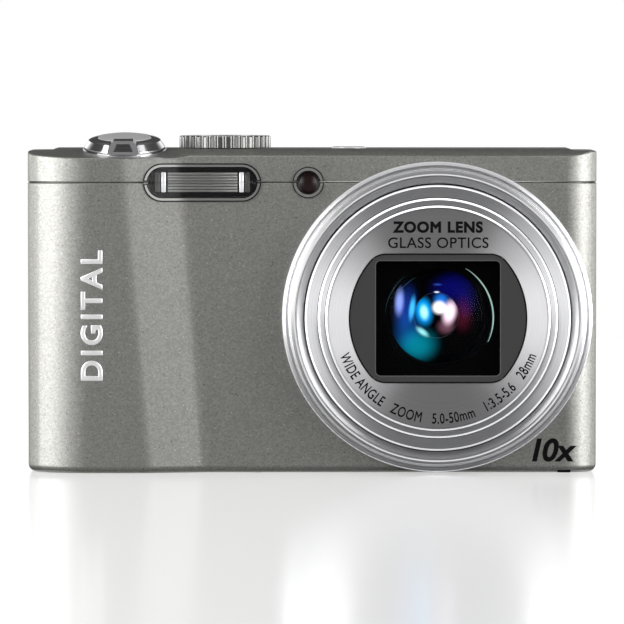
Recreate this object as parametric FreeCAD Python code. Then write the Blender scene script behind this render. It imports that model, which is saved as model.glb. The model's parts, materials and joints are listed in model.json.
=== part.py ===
"""A compact digital camera with a long retracting zoom lens, built as the separate pieces it comes apart into.

Frame: +X runs to the camera's left hand, seen from behind it, +Z is up, and the lens looks along -Y.
The origin is the centre of the tripod socket's mouth, on the plane that the camera stands on.
"""
import FreeCAD, Part
import math
import os

from FreeCAD import Vector

# ---- driving dimensions, in millimetres -------------------------------------------------------------
WIDTH = 99.5                 # overall width of the body
BODY_TOP = 56.5              # height of the flat top deck
DEPTH = 19.5                 # main face to back
GRIP_STEP = 2.2              # how far the finger grip stands in front of the main face
WALL = 1.2                   # thickness of the cover walls
SEAM_Z = 50.65               # seam between the lower covers and the top cover
SEAM_GAP = 0.14
GROOVE_HALF = 0.24           # the V groove along the seam
GROOVE_DEPTH = 0.17
SPLIT_Y = 4.5                # parting plane of the front and rear covers
SPLIT_GAP = 0.08
TOP_SLOPE = 9.0              # degrees that the top deck leans forward over the grip
SLOPE_START_Y = -2.0         # where that lean starts over the grip
BEVEL_START_Y = -6.9         # where the shorter, steeper lean starts elsewhere
BEVEL_TAN = 0.45
LEAN_LEFT_X = -27.0          # the one lean blends into the other between these
LEAN_RIGHT_X = -21.5
END_STEP = 0.35              # how much lower the deck's two ends are
BASE_ROUND = 1.3             # edge radius round the base
TOP_ROUND = 0.4              # edge radius round the top

LENS_X = 21.8                # optical axis
LENS_Z = 27.3
BEZEL_R = 27.0               # fixed ring round the lens
HOUSING_R = 25.0
BORE_R = 23.2                # guide bore of the lens housing
LARGE_R = 23.05              # outer radii of the three telescoping barrels
MIDDLE_R = 20.8
FRONT_R = 19.5
BARREL_WALL = 0.7
SLIDE_GAP = 0.15             # radial clearance between sliding barrels
LARGE_FACE = 5.6             # how far each barrel's face stands in front of the main face, retracted
MIDDLE_FACE = 6.2
FRONT_FACE = 6.9

WINDOW_W = 21.5              # opening of the lens barrier frame
WINDOW_H = 19.9
FRAME_R = 15.4
FRAME_HALF_H = 11.2

FLASH_X = -19.1
FLASH_W = 20.4
FLASH_H = 6.6
AF_X = -0.65
AF_R = 2.7

SHUTTER_X = -32.8
SHUTTER_Y = -4.2
DIAL_X = -15.3
DIAL_Y = 1.2
DIAL_R = 8.05
DIAL_TOP = 58.7
DIAL_TEETH = 36
DIAL_SHAFT_R = 1.8

SCREEN_X0, SCREEN_X1 = -19.5, 46.5
SCREEN_Z0, SCREEN_Z1 = 2.9, 48.9

SIDE_X = WIDTH / 2
BACK_Y = DEPTH / 2
FACE_Y = -DEPTH / 2
GRIP_Y = FACE_Y - GRIP_STEP
SLOPE_TAN = math.tan(math.radians(TOP_SLOPE))
UP = Vector(0, 0, 1)
FORWARD = Vector(0, -1, 0)
BACKWARD = Vector(0, 1, 0)
OUTLINE_MARGIN = 20.0        # how far cutting blocks run past the body

parts = {}


# ---- small helpers ----------------------------------------------------------------------------------
def box(x0, x1, y0, y1, z0, z1):
    """A block between two corners."""
    return Part.makeBox(x1 - x0, y1 - y0, z1 - z0, Vector(x0, y0, z0))


def rod(radius, start, end):
    """A cylinder from one point to another."""
    a, b = Vector(*start), Vector(*end)
    return Part.makeCylinder(radius, (b - a).Length, a, b - a)


def tube(outer, inner, start, end):
    """A hollow cylinder from one point to another."""
    return rod(outer, start, end).cut(rod(inner, start, end))


def lens_rod(radius, y0, y1):
    """A cylinder on the optical axis."""
    return rod(radius, (LENS_X, y0, LENS_Z), (LENS_X, y1, LENS_Z))


def lens_tube(outer, inner, y0, y1):
    """A hollow cylinder on the optical axis."""
    return lens_rod(outer, y0, y1).cut(lens_rod(inner, y0, y1))


def lens_turned(profile):
    """A turned solid on the optical axis from (radius, y) points."""
    points = [Vector(LENS_X + r, y, LENS_Z) for r, y in profile]
    face = Part.Face(Part.makePolygon(points + [points[0]]))
    return face.revolve(Vector(LENS_X, 0, LENS_Z), BACKWARD, 360)


def rounded_wire(corners, place):
    """A closed wire through (u, v, radius) corners, each rounded by a tangent arc. place maps (u, v) to a point."""
    count = len(corners)
    trims = []
    for i, (u, v, radius) in enumerate(corners):
        before, after = corners[i - 1], corners[(i + 1) % count]
        to_before = Vector(before[0] - u, before[1] - v, 0).normalize()
        to_after = Vector(after[0] - u, after[1] - v, 0).normalize()
        half = to_before.getAngle(to_after) / 2
        reach = radius / math.tan(half)
        here = Vector(u, v, 0)
        middle = (to_before + to_after).normalize()
        crown = here + middle * (radius / math.sin(half) - radius)
        trims.append((here + to_before * reach, crown, here + to_after * reach))
    edges = []
    for i, (start, crown, end) in enumerate(trims):
        edges.append(Part.Arc(place(start), place(crown), place(end)).toShape())
        following = trims[(i + 1) % count][0]
        edges.append(Part.LineSegment(place(end), place(following)).toShape())
    return Part.Wire(edges)


def rounded_plate(x0, x1, z0, z1, radius, y0, y1):
    """A plate that faces along Y, with rounded corners."""
    corners = [(x0, z0, radius), (x1, z0, radius), (x1, z1, radius), (x0, z1, radius)]
    wire = rounded_wire(corners, lambda p: Vector(p.x, y0, p.y))
    return Part.Face(wire).extrude(Vector(0, y1 - y0, 0))


def pill(x, z, width, height, y0, y1):
    """A stadium-shaped plate that faces along Y."""
    reach = (width - height) / 2
    plate = box(x - reach, x + reach, y0, y1, z - height / 2, z + height / 2)
    for side in (-1, 1):
        plate = plate.fuse(rod(height / 2, (x + side * reach, y0, z), (x + side * reach, y1, z)))
    return plate.removeSplitter()


def edges_in_plane(shape, axis, value, tolerance=1e-3):
    """The edges of a shape that lie in the plane axis = value."""
    index = {"x": (0, 3), "y": (1, 4), "z": (2, 5)}[axis]
    found = []
    for edge in shape.Edges:
        limits = edge.BoundBox
        bounds = (limits.XMin, limits.YMin, limits.ZMin, limits.XMax, limits.YMax, limits.ZMax)
        if all(abs(bounds[i] - value) < tolerance for i in index):
            found.append(edge)
    return found


def add(name, *solids):
    """Keeps one or more separate solids as a named piece."""
    parts[name] = solids[0] if len(solids) == 1 else Part.makeCompound(list(solids))


# ---- covers -----------------------------------------------------------------------------------------
def outline(z, inset=0.0):
    """The body's outline at a height. The grip's slanted step leans towards the left as it rises."""
    lean = z / BODY_TOP
    step_high = -28.8 - 4.6 * lean
    step_low = -18.4 - 4.5 * lean
    corners = [
        (-SIDE_X, BACK_Y, 3.0), (SIDE_X, BACK_Y, 3.0),
        (SIDE_X, FACE_Y + 2.6, 3.0), (SIDE_X - 3.1, FACE_Y, 7.0),
        (step_low, FACE_Y, 12.0), (step_high, GRIP_Y, 12.0),
        (-SIDE_X + 6.35, GRIP_Y, 16.0), (-SIDE_X, GRIP_Y + 4.45, 5.0),
    ]
    wire = rounded_wire(corners, lambda p: Vector(p.x, p.y, z))
    return wire.makeOffset2D(-inset) if inset else wire


def body_solid(z0, z1, inset=0.0):
    """The solid between two heights inside the outline."""
    return Part.makeLoft([outline(z0, inset), outline(z1, inset)], True, True)


def slope_cutter(drop=0.0):
    """Everything above the leaning front of the top deck: a long lean over the grip, a short one elsewhere."""
    top = BODY_TOP - drop
    front = GRIP_Y - OUTLINE_MARGIN
    ends = [
        (-SIDE_X - 5, SLOPE_START_Y, SLOPE_TAN), (LEAN_LEFT_X, SLOPE_START_Y, SLOPE_TAN),
        (LEAN_RIGHT_X, BEVEL_START_Y, BEVEL_TAN), (SIDE_X + 5, BEVEL_START_Y, BEVEL_TAN),
    ]
    sections = []
    for x, start, fall in ends:
        low = top - (start - front) * fall
        corners = [Vector(x, start, top), Vector(x, front, low), Vector(x, front, top + 30), Vector(x, start, top + 30)]
        sections.append(Part.makePolygon(corners + [corners[0]]))
    pieces = [Part.makeLoft([a, b], True, True) for a, b in zip(sections, sections[1:])]
    return pieces[0].fuse(pieces[1:])


def end_steps():
    """The wedges above the two ends of the top deck, which lie a little lower than its middle."""
    wedges = []
    for side in (-1, 1):
        corners = [(45.0, BODY_TOP), (45.8, BODY_TOP - END_STEP), (60.0, BODY_TOP - END_STEP), (60.0, 70.0), (45.0, 70.0)]
        points = [Vector(side * x, -OUTLINE_MARGIN, z) for x, z in corners]
        face = Part.Face(Part.makePolygon(points + [points[0]]))
        wedges.append(face.extrude(Vector(0, 2 * OUTLINE_MARGIN, 0)))
    return Part.makeCompound(wedges)


def seam_groove():
    """The shallow V that runs round the body at the seam and softens both covers' edges."""
    low, high = SEAM_Z - GROOVE_HALF, SEAM_Z + GROOVE_HALF
    band = box(-60, 60, -OUTLINE_MARGIN, OUTLINE_MARGIN, low, high)
    for z0, inset0, z1, inset1 in ((low, -0.01, SEAM_Z, GROOVE_DEPTH), (SEAM_Z, GROOVE_DEPTH, high, -0.01)):
        band = band.cut(Part.makeLoft([outline(z0, inset0), outline(z1, inset1)], True, True))
    return band


def outer_body():
    """The full outside of the camera body as one solid."""
    body = body_solid(0, BODY_TOP)
    body = body.makeFillet(BASE_ROUND, edges_in_plane(body, "z", 0.0))
    body = body.cut(slope_cutter()).cut(end_steps())
    rim = []
    for edge in body.Edges:
        place = (edge.FirstParameter + edge.LastParameter) / 2
        middle = edge.valueAt(place)
        rises = abs(edge.tangentAt(place).z)
        walls = [f for f in body.ancestorsOfType(edge, Part.Face) if abs(f.normalAt(*f.Surface.parameter(middle)).z) < 0.2]
        if middle.z > 53 and rises < 0.9 and len(walls) == 1:
            rim.append(edge)
    return body.makeFillet(TOP_ROUND, rim).cut(seam_groove())


OUTER = outer_body()
CAVITY = body_solid(WALL, BODY_TOP - WALL, WALL).cut(slope_cutter(WALL + 0.2))
SHELL = OUTER.cut(CAVITY)


def half_space(y0=-60.0, y1=60.0, z0=-5.0, z1=80.0):
    """A block as wide as the camera between limits in Y and Z."""
    return box(-SIDE_X - 5, SIDE_X + 5, y0, y1, z0, z1)


# ---- openings in the covers -------------------------------------------------------------------------
def on_lens(x, z):
    """A point's place relative to the optical axis, turned into camera X and Z."""
    return LENS_X + x, LENS_Z + z


CHAMBER = dict(x0=-46.0, x1=-10.6, y0=-7.9, y1=2.4)          # battery door outline
DOOR_HINGE_X, DOOR_HINGE_Z = -10.4, 1.35
DOOR_PIN_R = 0.5
DOOR_KNUCKLE_R = 1.1
PORT = dict(y0=-3.45, y1=3.65, z0=42.1, z1=49.05)            # connector door outline
PORT_HINGE_X, PORT_HINGE_Z = -49.05, 41.35
PORT_PIN_R = 0.3
PORT_KNUCKLE_R = 0.65
STRAP = dict(y0=-2.6, y1=3.1, z0=26.0, z1=34.0)
STRAP_BAR_X = -49.1
STRAP_BAR_R = 0.55
SOCKET_R = 2.55
SOCKET_DEPTH = 5.5
REAR_BUTTONS = {
    "menu_button": (-42.5, 36.5, 2.7), "function_button": (-26.5, 36.5, 2.7),
    "playback_button": (-42.5, 10.5, 2.7), "delete_button": (-26.5, 10.5, 2.7),
    "record_button": (-26.5, 44.6, 2.3),
}
PAD_X, PAD_Z, PAD_R, OK_R = -34.5, 23.5, 9.0, 4.1
POWER_X, POWER_Y, POWER_R = 6.5, 2.5, 3.0
SPEAKER_X, SPEAKER_Y = 40.0, 1.5
KEY_GAP = 0.15
SCREWS = [                                                   # head centre and the way it points
    ((14.0, -4.5, 0), (0, 0, -1)), ((42.0, -4.5, 0), (0, 0, -1)),
    ((SIDE_X, 0.5, 12.0), (1, 0, 0)), ((SIDE_X, 0.5, 40.0), (1, 0, 0)),
    ((-SIDE_X, 1.0, 14.0), (-1, 0, 0)),
]
SCREW_HEAD_R, SCREW_SHAFT_R = 1.25, 0.7


def screw_cylinder(place, way, radius, top, bottom):
    """A cylinder on a screw's axis between two depths under the surface."""
    out = Vector(*way)
    start = Vector(*place) - out * top
    return Part.makeCylinder(radius, bottom - top, start, out * -1)


def covers():
    """The three painted covers: front, rear and top."""
    holes = [
        lens_rod(26.3, GRIP_Y - 4, -4.0),
        pill(FLASH_X, SEAM_Z, FLASH_W + 0.1, FLASH_H + 0.1, GRIP_Y - 4, -7.0),
        rod(AF_R + 0.05, (AF_X, GRIP_Y - 4, SEAM_Z), (AF_X, -7.0, SEAM_Z)),
    ]
    for place, way in SCREWS:
        holes.append(screw_cylinder(place, way, SCREW_HEAD_R + 0.12, -1.0, 0.75))
        holes.append(screw_cylinder(place, way, SCREW_SHAFT_R + 0.1, 0.5, 3.0))

    front = SHELL.common(half_space(y1=SPLIT_Y, z1=SEAM_Z - SEAM_GAP / 2))
    strap_cup = box(-49.0, -47.0, STRAP["y0"] - 0.6, STRAP["y1"] + 0.6, STRAP["z0"] - 0.7, STRAP["z1"] + 0.7)
    front = front.fuse(strap_cup)
    for y0, y1 in ((-8.7, -8.15), (2.65, 3.3)):
        front = front.fuse(box(DOOR_HINGE_X - 1.2, DOOR_HINGE_X + 1.2, y0, y1, 1.0, 2.6))
    front = front.cut(box(-55, -47.5, STRAP["y0"], STRAP["y1"], STRAP["z0"], STRAP["z1"]))
    strap_ends = (STRAP["z0"] - 0.6, STRAP["z1"] + 0.6)
    front = front.cut(rod(STRAP_BAR_R, (STRAP_BAR_X, 0.25, strap_ends[0]), (STRAP_BAR_X, 0.25, strap_ends[1])))
    front = front.cut(box(-46.25, -8.9, -8.15, 2.65, -1, 1.3))
    front = front.cut(door_pin())
    front = front.cut(box(-55, -48.0, PORT["y0"] - 0.15, PORT["y1"] + 0.15, 40.4, PORT["z1"] + 0.15))
    front = front.cut(port_pin())
    front = front.cut(rod(4.25, (0, 0, -1), (0, 0, 2)))
    for hole in holes:
        front = front.cut(hole)
    add("front_cover", front)

    rear = SHELL.common(half_space(y0=SPLIT_Y + SPLIT_GAP, z1=SEAM_Z - SEAM_GAP / 2))
    rear = rear.cut(rounded_plate(SCREEN_X0, SCREEN_X1, SCREEN_Z0, SCREEN_Z1, 1.5, 8.95, 12))
    rear = rear.cut(rounded_plate(-17.8, 44.8, 4.3, 47.5, 0.5, 7, 12))
    for x, z, radius in REAR_BUTTONS.values():
        rear = rear.cut(rod(radius + KEY_GAP, (x, 7, z), (x, 12, z)))
    rear = rear.cut(rod(PAD_R + KEY_GAP, (PAD_X, 7, PAD_Z), (PAD_X, 12, PAD_Z)))
    add("rear_cover", rear)

    top = SHELL.common(half_space(z0=SEAM_Z + SEAM_GAP / 2))
    lip_low, lip_high = SEAM_Z - 1.0, SEAM_Z + 1.2
    lip = body_solid(lip_low, lip_high, WALL + 0.05).cut(body_solid(lip_low, lip_high, WALL + 0.65))
    lip = lip.fuse(body_solid(SEAM_Z + 0.4, lip_high, WALL - 0.1).cut(
        body_solid(SEAM_Z + 0.4, lip_high, WALL + 0.65)))
    lip = lip.cut(box(FLASH_X - 11, FLASH_X + 11, -14, -6, 40, 54)).cut(box(AF_X - 3.3, AF_X + 3.3, -14, -6, 40, 54))
    top = top.fuse(lip)
    axis = shutter_axis()
    top = top.cut(Part.makeCylinder(2.5, 12, shutter_point(0, -6), axis))
    top = top.cut(rod(DIAL_SHAFT_R + 0.07, (DIAL_X, DIAL_Y, 50), (DIAL_X, DIAL_Y, 60)))
    top = top.cut(rod(POWER_R + KEY_GAP, (POWER_X, POWER_Y, 50), (POWER_X, POWER_Y, 60)))
    for i in range(7):
        angle = math.radians(60 * i)
        reach = 0 if i == 6 else 1.7
        x, y = SPEAKER_X + reach * math.cos(angle), SPEAKER_Y + reach * math.sin(angle)
        top = top.cut(rod(0.4, (x, y, 53), (x, y, 60)))
    for hole in holes:
        top = top.cut(hole)
    add("top_cover", top)


# ---- shutter button, zoom lever, mode dial, power button --------------------------------------------
def shutter_axis():
    """The way the shutter button points: square to the leaning front of the deck."""
    lean = math.radians(TOP_SLOPE)
    return Vector(0, -math.sin(lean), math.cos(lean))


def shutter_point(radius, height):
    """A point in the plane through the shutter axis that faces right, at a radius and height above the deck."""
    base = Vector(SHUTTER_X, SHUTTER_Y, BODY_TOP + (SHUTTER_Y - SLOPE_START_Y) * SLOPE_TAN)
    return base + Vector(radius, 0, 0) + shutter_axis() * height


def shutter_turned(profile):
    """A turned solid on the shutter axis from (radius, height) points."""
    points = [shutter_point(r, h) for r, h in profile]
    face = Part.Face(Part.makePolygon(points + [points[0]]))
    return face.revolve(shutter_point(0, 0), shutter_axis(), 360)


def top_controls():
    """The controls on the top deck and the fixed collar under the zoom lever."""
    collar = shutter_turned([(2.4, -1.6), (7.35, -1.6), (7.35, 0.25), (7.15, 0.45), (2.4, 0.45)])
    add("shutter_collar", collar.cut(OUTER))

    ring = shutter_turned([(4.85, 0.55), (7.1, 0.55), (7.1, 0.8), (6.3, 1.9), (5.9, 2.12), (4.85, 2.35)])
    slope = math.radians(TOP_SLOPE)
    tab_profile = [(-2.8, 0.6), (2.8, 0.6), (2.5, 2.0), (1.65, 3.0), (-1.65, 3.0), (-2.5, 2.0)]
    start = Vector(0, -math.cos(slope), -math.sin(slope)) * 5.3
    points = [shutter_point(x, h) + start for x, h in tab_profile]
    out = Vector(0, -math.cos(slope), -math.sin(slope))
    tab = Part.Face(Part.makePolygon(points + [points[0]])).extrude(out * 2.5)
    tab = tab.makeFillet(0.35, [e for e in tab.Edges if abs(e.Length - 2.5) < 0.01])
    inset = [(-1.75, 1.05), (1.75, 1.05), (1.6, 1.9), (1.15, 2.45), (-1.15, 2.45), (-1.6, 1.9)]
    points = [shutter_point(x, h) + out * 7.5 for x, h in inset]
    recess = Part.Face(Part.makePolygon(points + [points[0]])).extrude(out * 2)
    lever = ring.fuse(tab.cut(Part.makeCylinder(5.0, 8, shutter_point(0, -2), shutter_axis()))).cut(recess)
    add("zoom_lever", lever.removeSplitter())

    rise, edge_r, dome_low = 2.95, 4.5, 2.4
    sag = rise - dome_low
    dome_r = (edge_r ** 2 + sag ** 2) / (2 * sag)
    half = math.asin(edge_r / dome_r) / 2
    on_dome = shutter_point(dome_r * math.sin(half), rise - dome_r + dome_r * math.cos(half))
    rim = [(edge_r, dome_low), (4.7, 2.2), (4.7, 1.25), (2.2, 1.25), (2.2, -3.0), (0, -3.0), (0, rise)]
    edges = [Part.Arc(shutter_point(0, rise), on_dome, shutter_point(edge_r, dome_low)).toShape()]
    for a, b in zip(rim, rim[1:]):
        edges.append(Part.LineSegment(shutter_point(*a), shutter_point(*b)).toShape())
    cap = Part.Face(Part.Wire(edges)).revolve(shutter_point(0, 0), shutter_axis(), 360)
    add("shutter_button", cap)

    dial = rod(DIAL_R, (DIAL_X, DIAL_Y, 56.65), (DIAL_X, DIAL_Y, DIAL_TOP))
    dial = dial.makeChamfer(0.22, edges_in_plane(dial, "z", DIAL_TOP))
    flutes = []
    for i in range(DIAL_TEETH):
        angle = 2 * math.pi * i / DIAL_TEETH
        x, y = DIAL_X + (DIAL_R + 0.16) * math.cos(angle), DIAL_Y + (DIAL_R + 0.16) * math.sin(angle)
        flutes.append(rod(0.5, (x, y, 56), (x, y, 60)))
    dial = dial.cut(Part.makeCompound(flutes))
    dish = rod(6.9, (DIAL_X, DIAL_Y, DIAL_TOP - 0.12), (DIAL_X, DIAL_Y, DIAL_TOP + 1))
    shaft = rod(DIAL_SHAFT_R, (DIAL_X, DIAL_Y, 53.0), (DIAL_X, DIAL_Y, 56.65))
    add("mode_dial", dial.cut(dish).fuse(shaft))

    power = rod(POWER_R, (POWER_X, POWER_Y, 54.2), (POWER_X, POWER_Y, 56.75))
    power = power.makeFillet(0.3, edges_in_plane(power, "z", 56.75))
    add("power_button", power.fuse(rod(POWER_R + 0.6, (POWER_X, POWER_Y, 53.9), (POWER_X, POWER_Y, 54.5))))


# ---- rear controls ----------------------------------------------------------------------------------
def rear_controls():
    """The round keys, the direction pad with its centre key, and the key board under them."""
    for name, (x, z, radius) in REAR_BUTTONS.items():
        cap = rod(radius, (x, 7.9, z), (x, 10.15, z))
        cap = cap.makeFillet(0.35, edges_in_plane(cap, "y", 10.15))
        add(name, cap.fuse(rod(radius + 0.5, (x, 7.6, z), (x, 8.1, z))))
    pad = rod(PAD_R, (PAD_X, 7.9, PAD_Z), (PAD_X, 10.1, PAD_Z))
    pad = pad.makeFillet(0.6, edges_in_plane(pad, "y", 10.1))
    pad = pad.fuse(rod(PAD_R + 0.5, (PAD_X, 7.6, PAD_Z), (PAD_X, 8.1, PAD_Z)))
    pad = pad.cut(rod(OK_R + 0.3, (PAD_X, 5, PAD_Z), (PAD_X, 12, PAD_Z)))
    add("direction_pad", pad)
    centre = rod(OK_R, (PAD_X, 7.6, PAD_Z), (PAD_X, 9.95, PAD_Z))
    add("ok_button", centre.makeFillet(0.35, edges_in_plane(centre, "y", 9.95)))

    board = box(-47.0, -22.0, 5.8, 6.5, 5.0, 48.0)
    places = [(x, z) for x, z, _ in REAR_BUTTONS.values()] + [(PAD_X, PAD_Z)]
    places += [(PAD_X + 6.7 * dx, PAD_Z + 6.7 * dz) for dx, dz in ((1, 0), (-1, 0), (0, 1), (0, -1))]
    domes = [rod(1.4, (x, 6.5, z), (x, 7.0, z)) for x, z in places]
    add("key_board", board, *domes)


# ---- lens -------------------------------------------------------------------------------------------
def frame_plate(half_h, radius, y0, y1):
    """The barrel-shaped plate behind the name plate: a disc cut flat above and below, corners rounded."""
    disc = lens_rod(radius, y0, y1)
    x, z = on_lens(0, 0)
    plate = disc.common(box(x - 30, x + 30, y0, y1, z - half_h, z + half_h))
    corners = [e for e in plate.Edges if abs(e.Length - (y1 - y0)) < 0.01 and e.BoundBox.YLength > 0.1]
    corners = [e for e in corners if abs(e.BoundBox.Center.z - z) > half_h * 0.9]
    return plate.makeFillet(3.6, corners)


def glass(radius, front_y, curve, back_y):
    """A lens element with a domed front and a flat back; a negative curve hollows the front instead."""
    size = abs(curve)
    sag = size - math.sqrt(size ** 2 - radius ** 2)
    half = math.asin(radius / size) / 2
    bow = size - size * math.cos(half)
    if curve > 0:
        middle_y, edge_y, rim_y = front_y, front_y + bow, front_y + sag
    else:
        middle_y, edge_y, rim_y = front_y + sag, front_y + sag - bow, front_y
    start = Vector(LENS_X, middle_y, LENS_Z)
    crown = Vector(LENS_X + size * math.sin(half), edge_y, LENS_Z)
    end = Vector(LENS_X + radius, rim_y, LENS_Z)
    corner, back = Vector(LENS_X + radius, back_y, LENS_Z), Vector(LENS_X, back_y, LENS_Z)
    edges = [Part.Arc(start, crown, end).toShape()]
    for a, b in ((end, corner), (corner, back), (back, start)):
        edges.append(Part.LineSegment(a, b).toShape())
    return Part.Face(Part.Wire(edges)).revolve(Vector(LENS_X, 0, LENS_Z), BACKWARD, 360)


def lens_fixed():
    """The rings, housing, sensor and drive that stay with the body."""
    ring = lens_turned([
        (24.70, -8.0), (24.70, -15.20), (24.80, -15.35), (24.95, -15.35), (25.05, -15.10), (25.60, -13.45),
        (25.75, -13.45), (25.88, -13.30), (26.00, -12.90), (26.05, -12.00), (26.20, -12.00), (26.30, -12.25),
        (26.45, -12.25), (26.90, -11.85), (BEZEL_R, -11.60), (BEZEL_R, -6.5), (26.30, -6.5), (26.30, -9.0),
        (26.20, -9.0), (26.20, -8.0),
    ])
    add("lens_bezel_ring", ring.cut(OUTER.cut(lens_rod(26.3, GRIP_Y - 4, -4.0))))
    add("inner_trim_ring", lens_turned([
        (24.65, -8.0), (24.65, -15.05), (24.50, -15.20), (24.40, -15.20), (23.40, -14.30), (23.30, -14.15),
        (23.30, -8.0),
    ]))
    housing = lens_tube(HOUSING_R, BORE_R, -7.9, 3.2).fuse(lens_rod(HOUSING_R, 3.2, 4.0))
    x, z = on_lens(0, 0)
    add("lens_housing", housing.cut(box(x - 4.75, x + 4.75, 3.0, 4.2, z - 3.75, z + 3.75)))
    board = box(x - 10, x + 10, 4.15, 4.75, z - 8, z + 8)
    add("image_sensor", box(x - 4.5, x + 4.5, 3.3, 4.15, z - 3.5, z + 3.5).fuse(board))
    add("zoom_motor", rod(2.9, (2.0, -4.5, 49.0), (2.0, 4.2, 49.0)), rod(0.5, (2.0, -6.0, 49.0), (2.0, -4.5, 49.0)))


def lens_moving():
    """The three telescoping barrels with what each carries, and the focusing group."""
    rear = {"large": 2.4, "middle": 2.2, "front": 1.6}
    for name, outer, neck, face in (("large", LARGE_R, MIDDLE_R, LARGE_FACE), ("middle", MIDDLE_R, FRONT_R, MIDDLE_FACE)):
        front = FACE_Y - face
        inner = outer - BARREL_WALL
        add(f"barrel_{name}", lens_turned([
            (inner, rear[name]), (outer, rear[name]), (outer, front + 0.32), (outer - 0.32, front),
            (neck + SLIDE_GAP, front), (neck + SLIDE_GAP, front + 1.0), (inner, front + 1.0),
        ]))
    front = FACE_Y - FRONT_FACE
    add("barrel_front", lens_turned([
        (18.8, rear["front"]), (FRONT_R, rear["front"]), (FRONT_R, front + 0.32), (FRONT_R - 0.32, front),
        (19.05, front), (19.05, front + 0.9), (18.8, front + 0.9),
    ]))
    plate = lens_rod(19.0, front + 0.08, front + 0.88)
    add("name_plate", plate.cut(frame_plate(FRAME_HALF_H + 0.06, FRAME_R + 0.06, front - 1, front + 2)))
    frame = frame_plate(FRAME_HALF_H, FRAME_R, front + 0.25, front + 1.05)
    x, z = on_lens(0, 0)
    window = rounded_plate(
        x - WINDOW_W / 2, x + WINDOW_W / 2, z - WINDOW_H / 2, z + WINDOW_H / 2, 0.8, front - 1, front + 3)
    add("barrier_frame", frame.cut(window))
    add("front_lens_holder", lens_turned([
        (18.7, -14.6), (18.7, -10.6), (9.2, -10.6), (9.2, -11.0), (10.3, -11.0), (10.3, -12.2), (9.85, -12.2),
        (9.85, -12.5), (10.6, -12.5), (10.6, -12.9), (11.3, -12.9), (11.3, -13.4), (12.1, -13.4),
        (12.1, -13.9), (13.0, -13.9), (13.0, -14.6),
    ]))
    add("front_lens", glass(10.2, -14.0, 26.0, -11.1))
    add("zoom_lens_carrier", lens_turned([
        (20.1, 1.75), (20.1, 2.2), (8.4, 2.2), (8.4, -9.4), (9.2, -9.4), (9.2, 1.75),
    ]))
    add("zoom_lenses", glass(8.35, -9.2, 14.0, -5.8), glass(8.35, -4.3, -24.0, -1.9))
    add("aperture_ring", lens_tube(8.35, 3.9, -5.3, -4.8))
    add("focus_carrier", lens_tube(7.6, 5.05, -0.9, 0.9))
    add("focus_lens", lens_rod(5.0, -0.7, 0.7))


def barrier_blades():
    """Four thin blades behind the frame, stowed above and below the window."""
    x, z = on_lens(0, 0)
    stowed = {"inner": (10.1, 15.5, -15.5), "outer": (10.1, 15.7, -15.1)}
    for side, sign in (("upper", 1), ("lower", -1)):
        for layer, (low, high, y) in stowed.items():
            z0, z1 = sorted((z + sign * low, z + sign * high))
            blade = box(x - 13.0, x + 13.0, y, y + 0.25, z0, z1)
            add(f"blade_{side}_{layer}", blade.common(lens_rod(18.65, y, y + 0.25)))


# ---- flash, lamp, screen ----------------------------------------------------------------------------
def flash_and_lamp():
    """The flash with its window, reflector, tube and capacitor, and the focus-assist lamp."""
    proud = OUTER.copy()
    proud.translate(Vector(0, -0.3, 0))
    rim = pill(FLASH_X, SEAM_Z, FLASH_W, FLASH_H, -14, -8.6)
    rim = rim.cut(pill(FLASH_X, SEAM_Z, FLASH_W - 1.5, FLASH_H - 1.5, -15, -8))
    add("flash_bezel", rim.common(proud))
    sunk = OUTER.copy()
    sunk.translate(Vector(0, 0.45, 0))
    window = pill(FLASH_X, SEAM_Z, FLASH_W - 1.56, FLASH_H - 1.56, -14, -8.65)
    add("flash_window", window.common(sunk))
    trough = box(-27.6, -10.6, -8.4, -4.3, SEAM_Z - 2.4, SEAM_Z + 2.4)
    mouth, floor = 2.1, 1.0
    hollow = [Vector(-27.2, -8.5, SEAM_Z + s * mouth) for s in (-1, 1)]
    hollow += [Vector(-27.2, -4.7, SEAM_Z + s * floor) for s in (1, -1)]
    cavity = Part.Face(Part.makePolygon(hollow + [hollow[0]])).extrude(Vector(16.2, 0, 0))
    tube_y = -6.1
    add("flash_reflector", trough.cut(cavity).cut(rod(1.0, (-30, tube_y, SEAM_Z), (-5, tube_y, SEAM_Z))))
    add("flash_tube", rod(0.85, (-28.6, tube_y, SEAM_Z), (-9.6, tube_y, SEAM_Z)))
    add("flash_capacitor", rod(3.5, (-36.0, 0.7, 47.3), (-11.0, 0.7, 47.3)))

    ring = rod(AF_R, (AF_X, -14, SEAM_Z), (AF_X, -8.2, SEAM_Z)).cut(
        rod(1.95, (AF_X, -15, SEAM_Z), (AF_X, -8, SEAM_Z)))
    add("af_lamp_bezel", ring.common(proud))
    dome = Part.makeSphere(5.0, Vector(AF_X, -9.6 + 5.0, SEAM_Z))
    add("af_lamp_lens", rod(1.9, (AF_X, -10, SEAM_Z), (AF_X, -8.4, SEAM_Z)).common(dome))


def screen():
    """The rear screen's cover glass and display module."""
    add("screen_window", rounded_plate(
        SCREEN_X0 + 0.06, SCREEN_X1 - 0.06, SCREEN_Z0 + 0.06, SCREEN_Z1 - 0.06, 1.45, 8.95, BACK_Y - 0.05))
    add("screen_panel", box(-17.5, 44.5, 5.0, 7.9, 4.5, 47.3))


# ---- power, storage, fasteners ----------------------------------------------------------------------
def door_pin():
    """The battery door's hinge pin."""
    return rod(DOOR_PIN_R, (DOOR_HINGE_X, -8.5, DOOR_HINGE_Z), (DOOR_HINGE_X, 3.1, DOOR_HINGE_Z))


def port_pin():
    """The connector door's hinge pin."""
    return rod(PORT_PIN_R, (PORT_HINGE_X, -4.2, PORT_HINGE_Z), (PORT_HINGE_X, 4.3, PORT_HINGE_Z))


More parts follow.
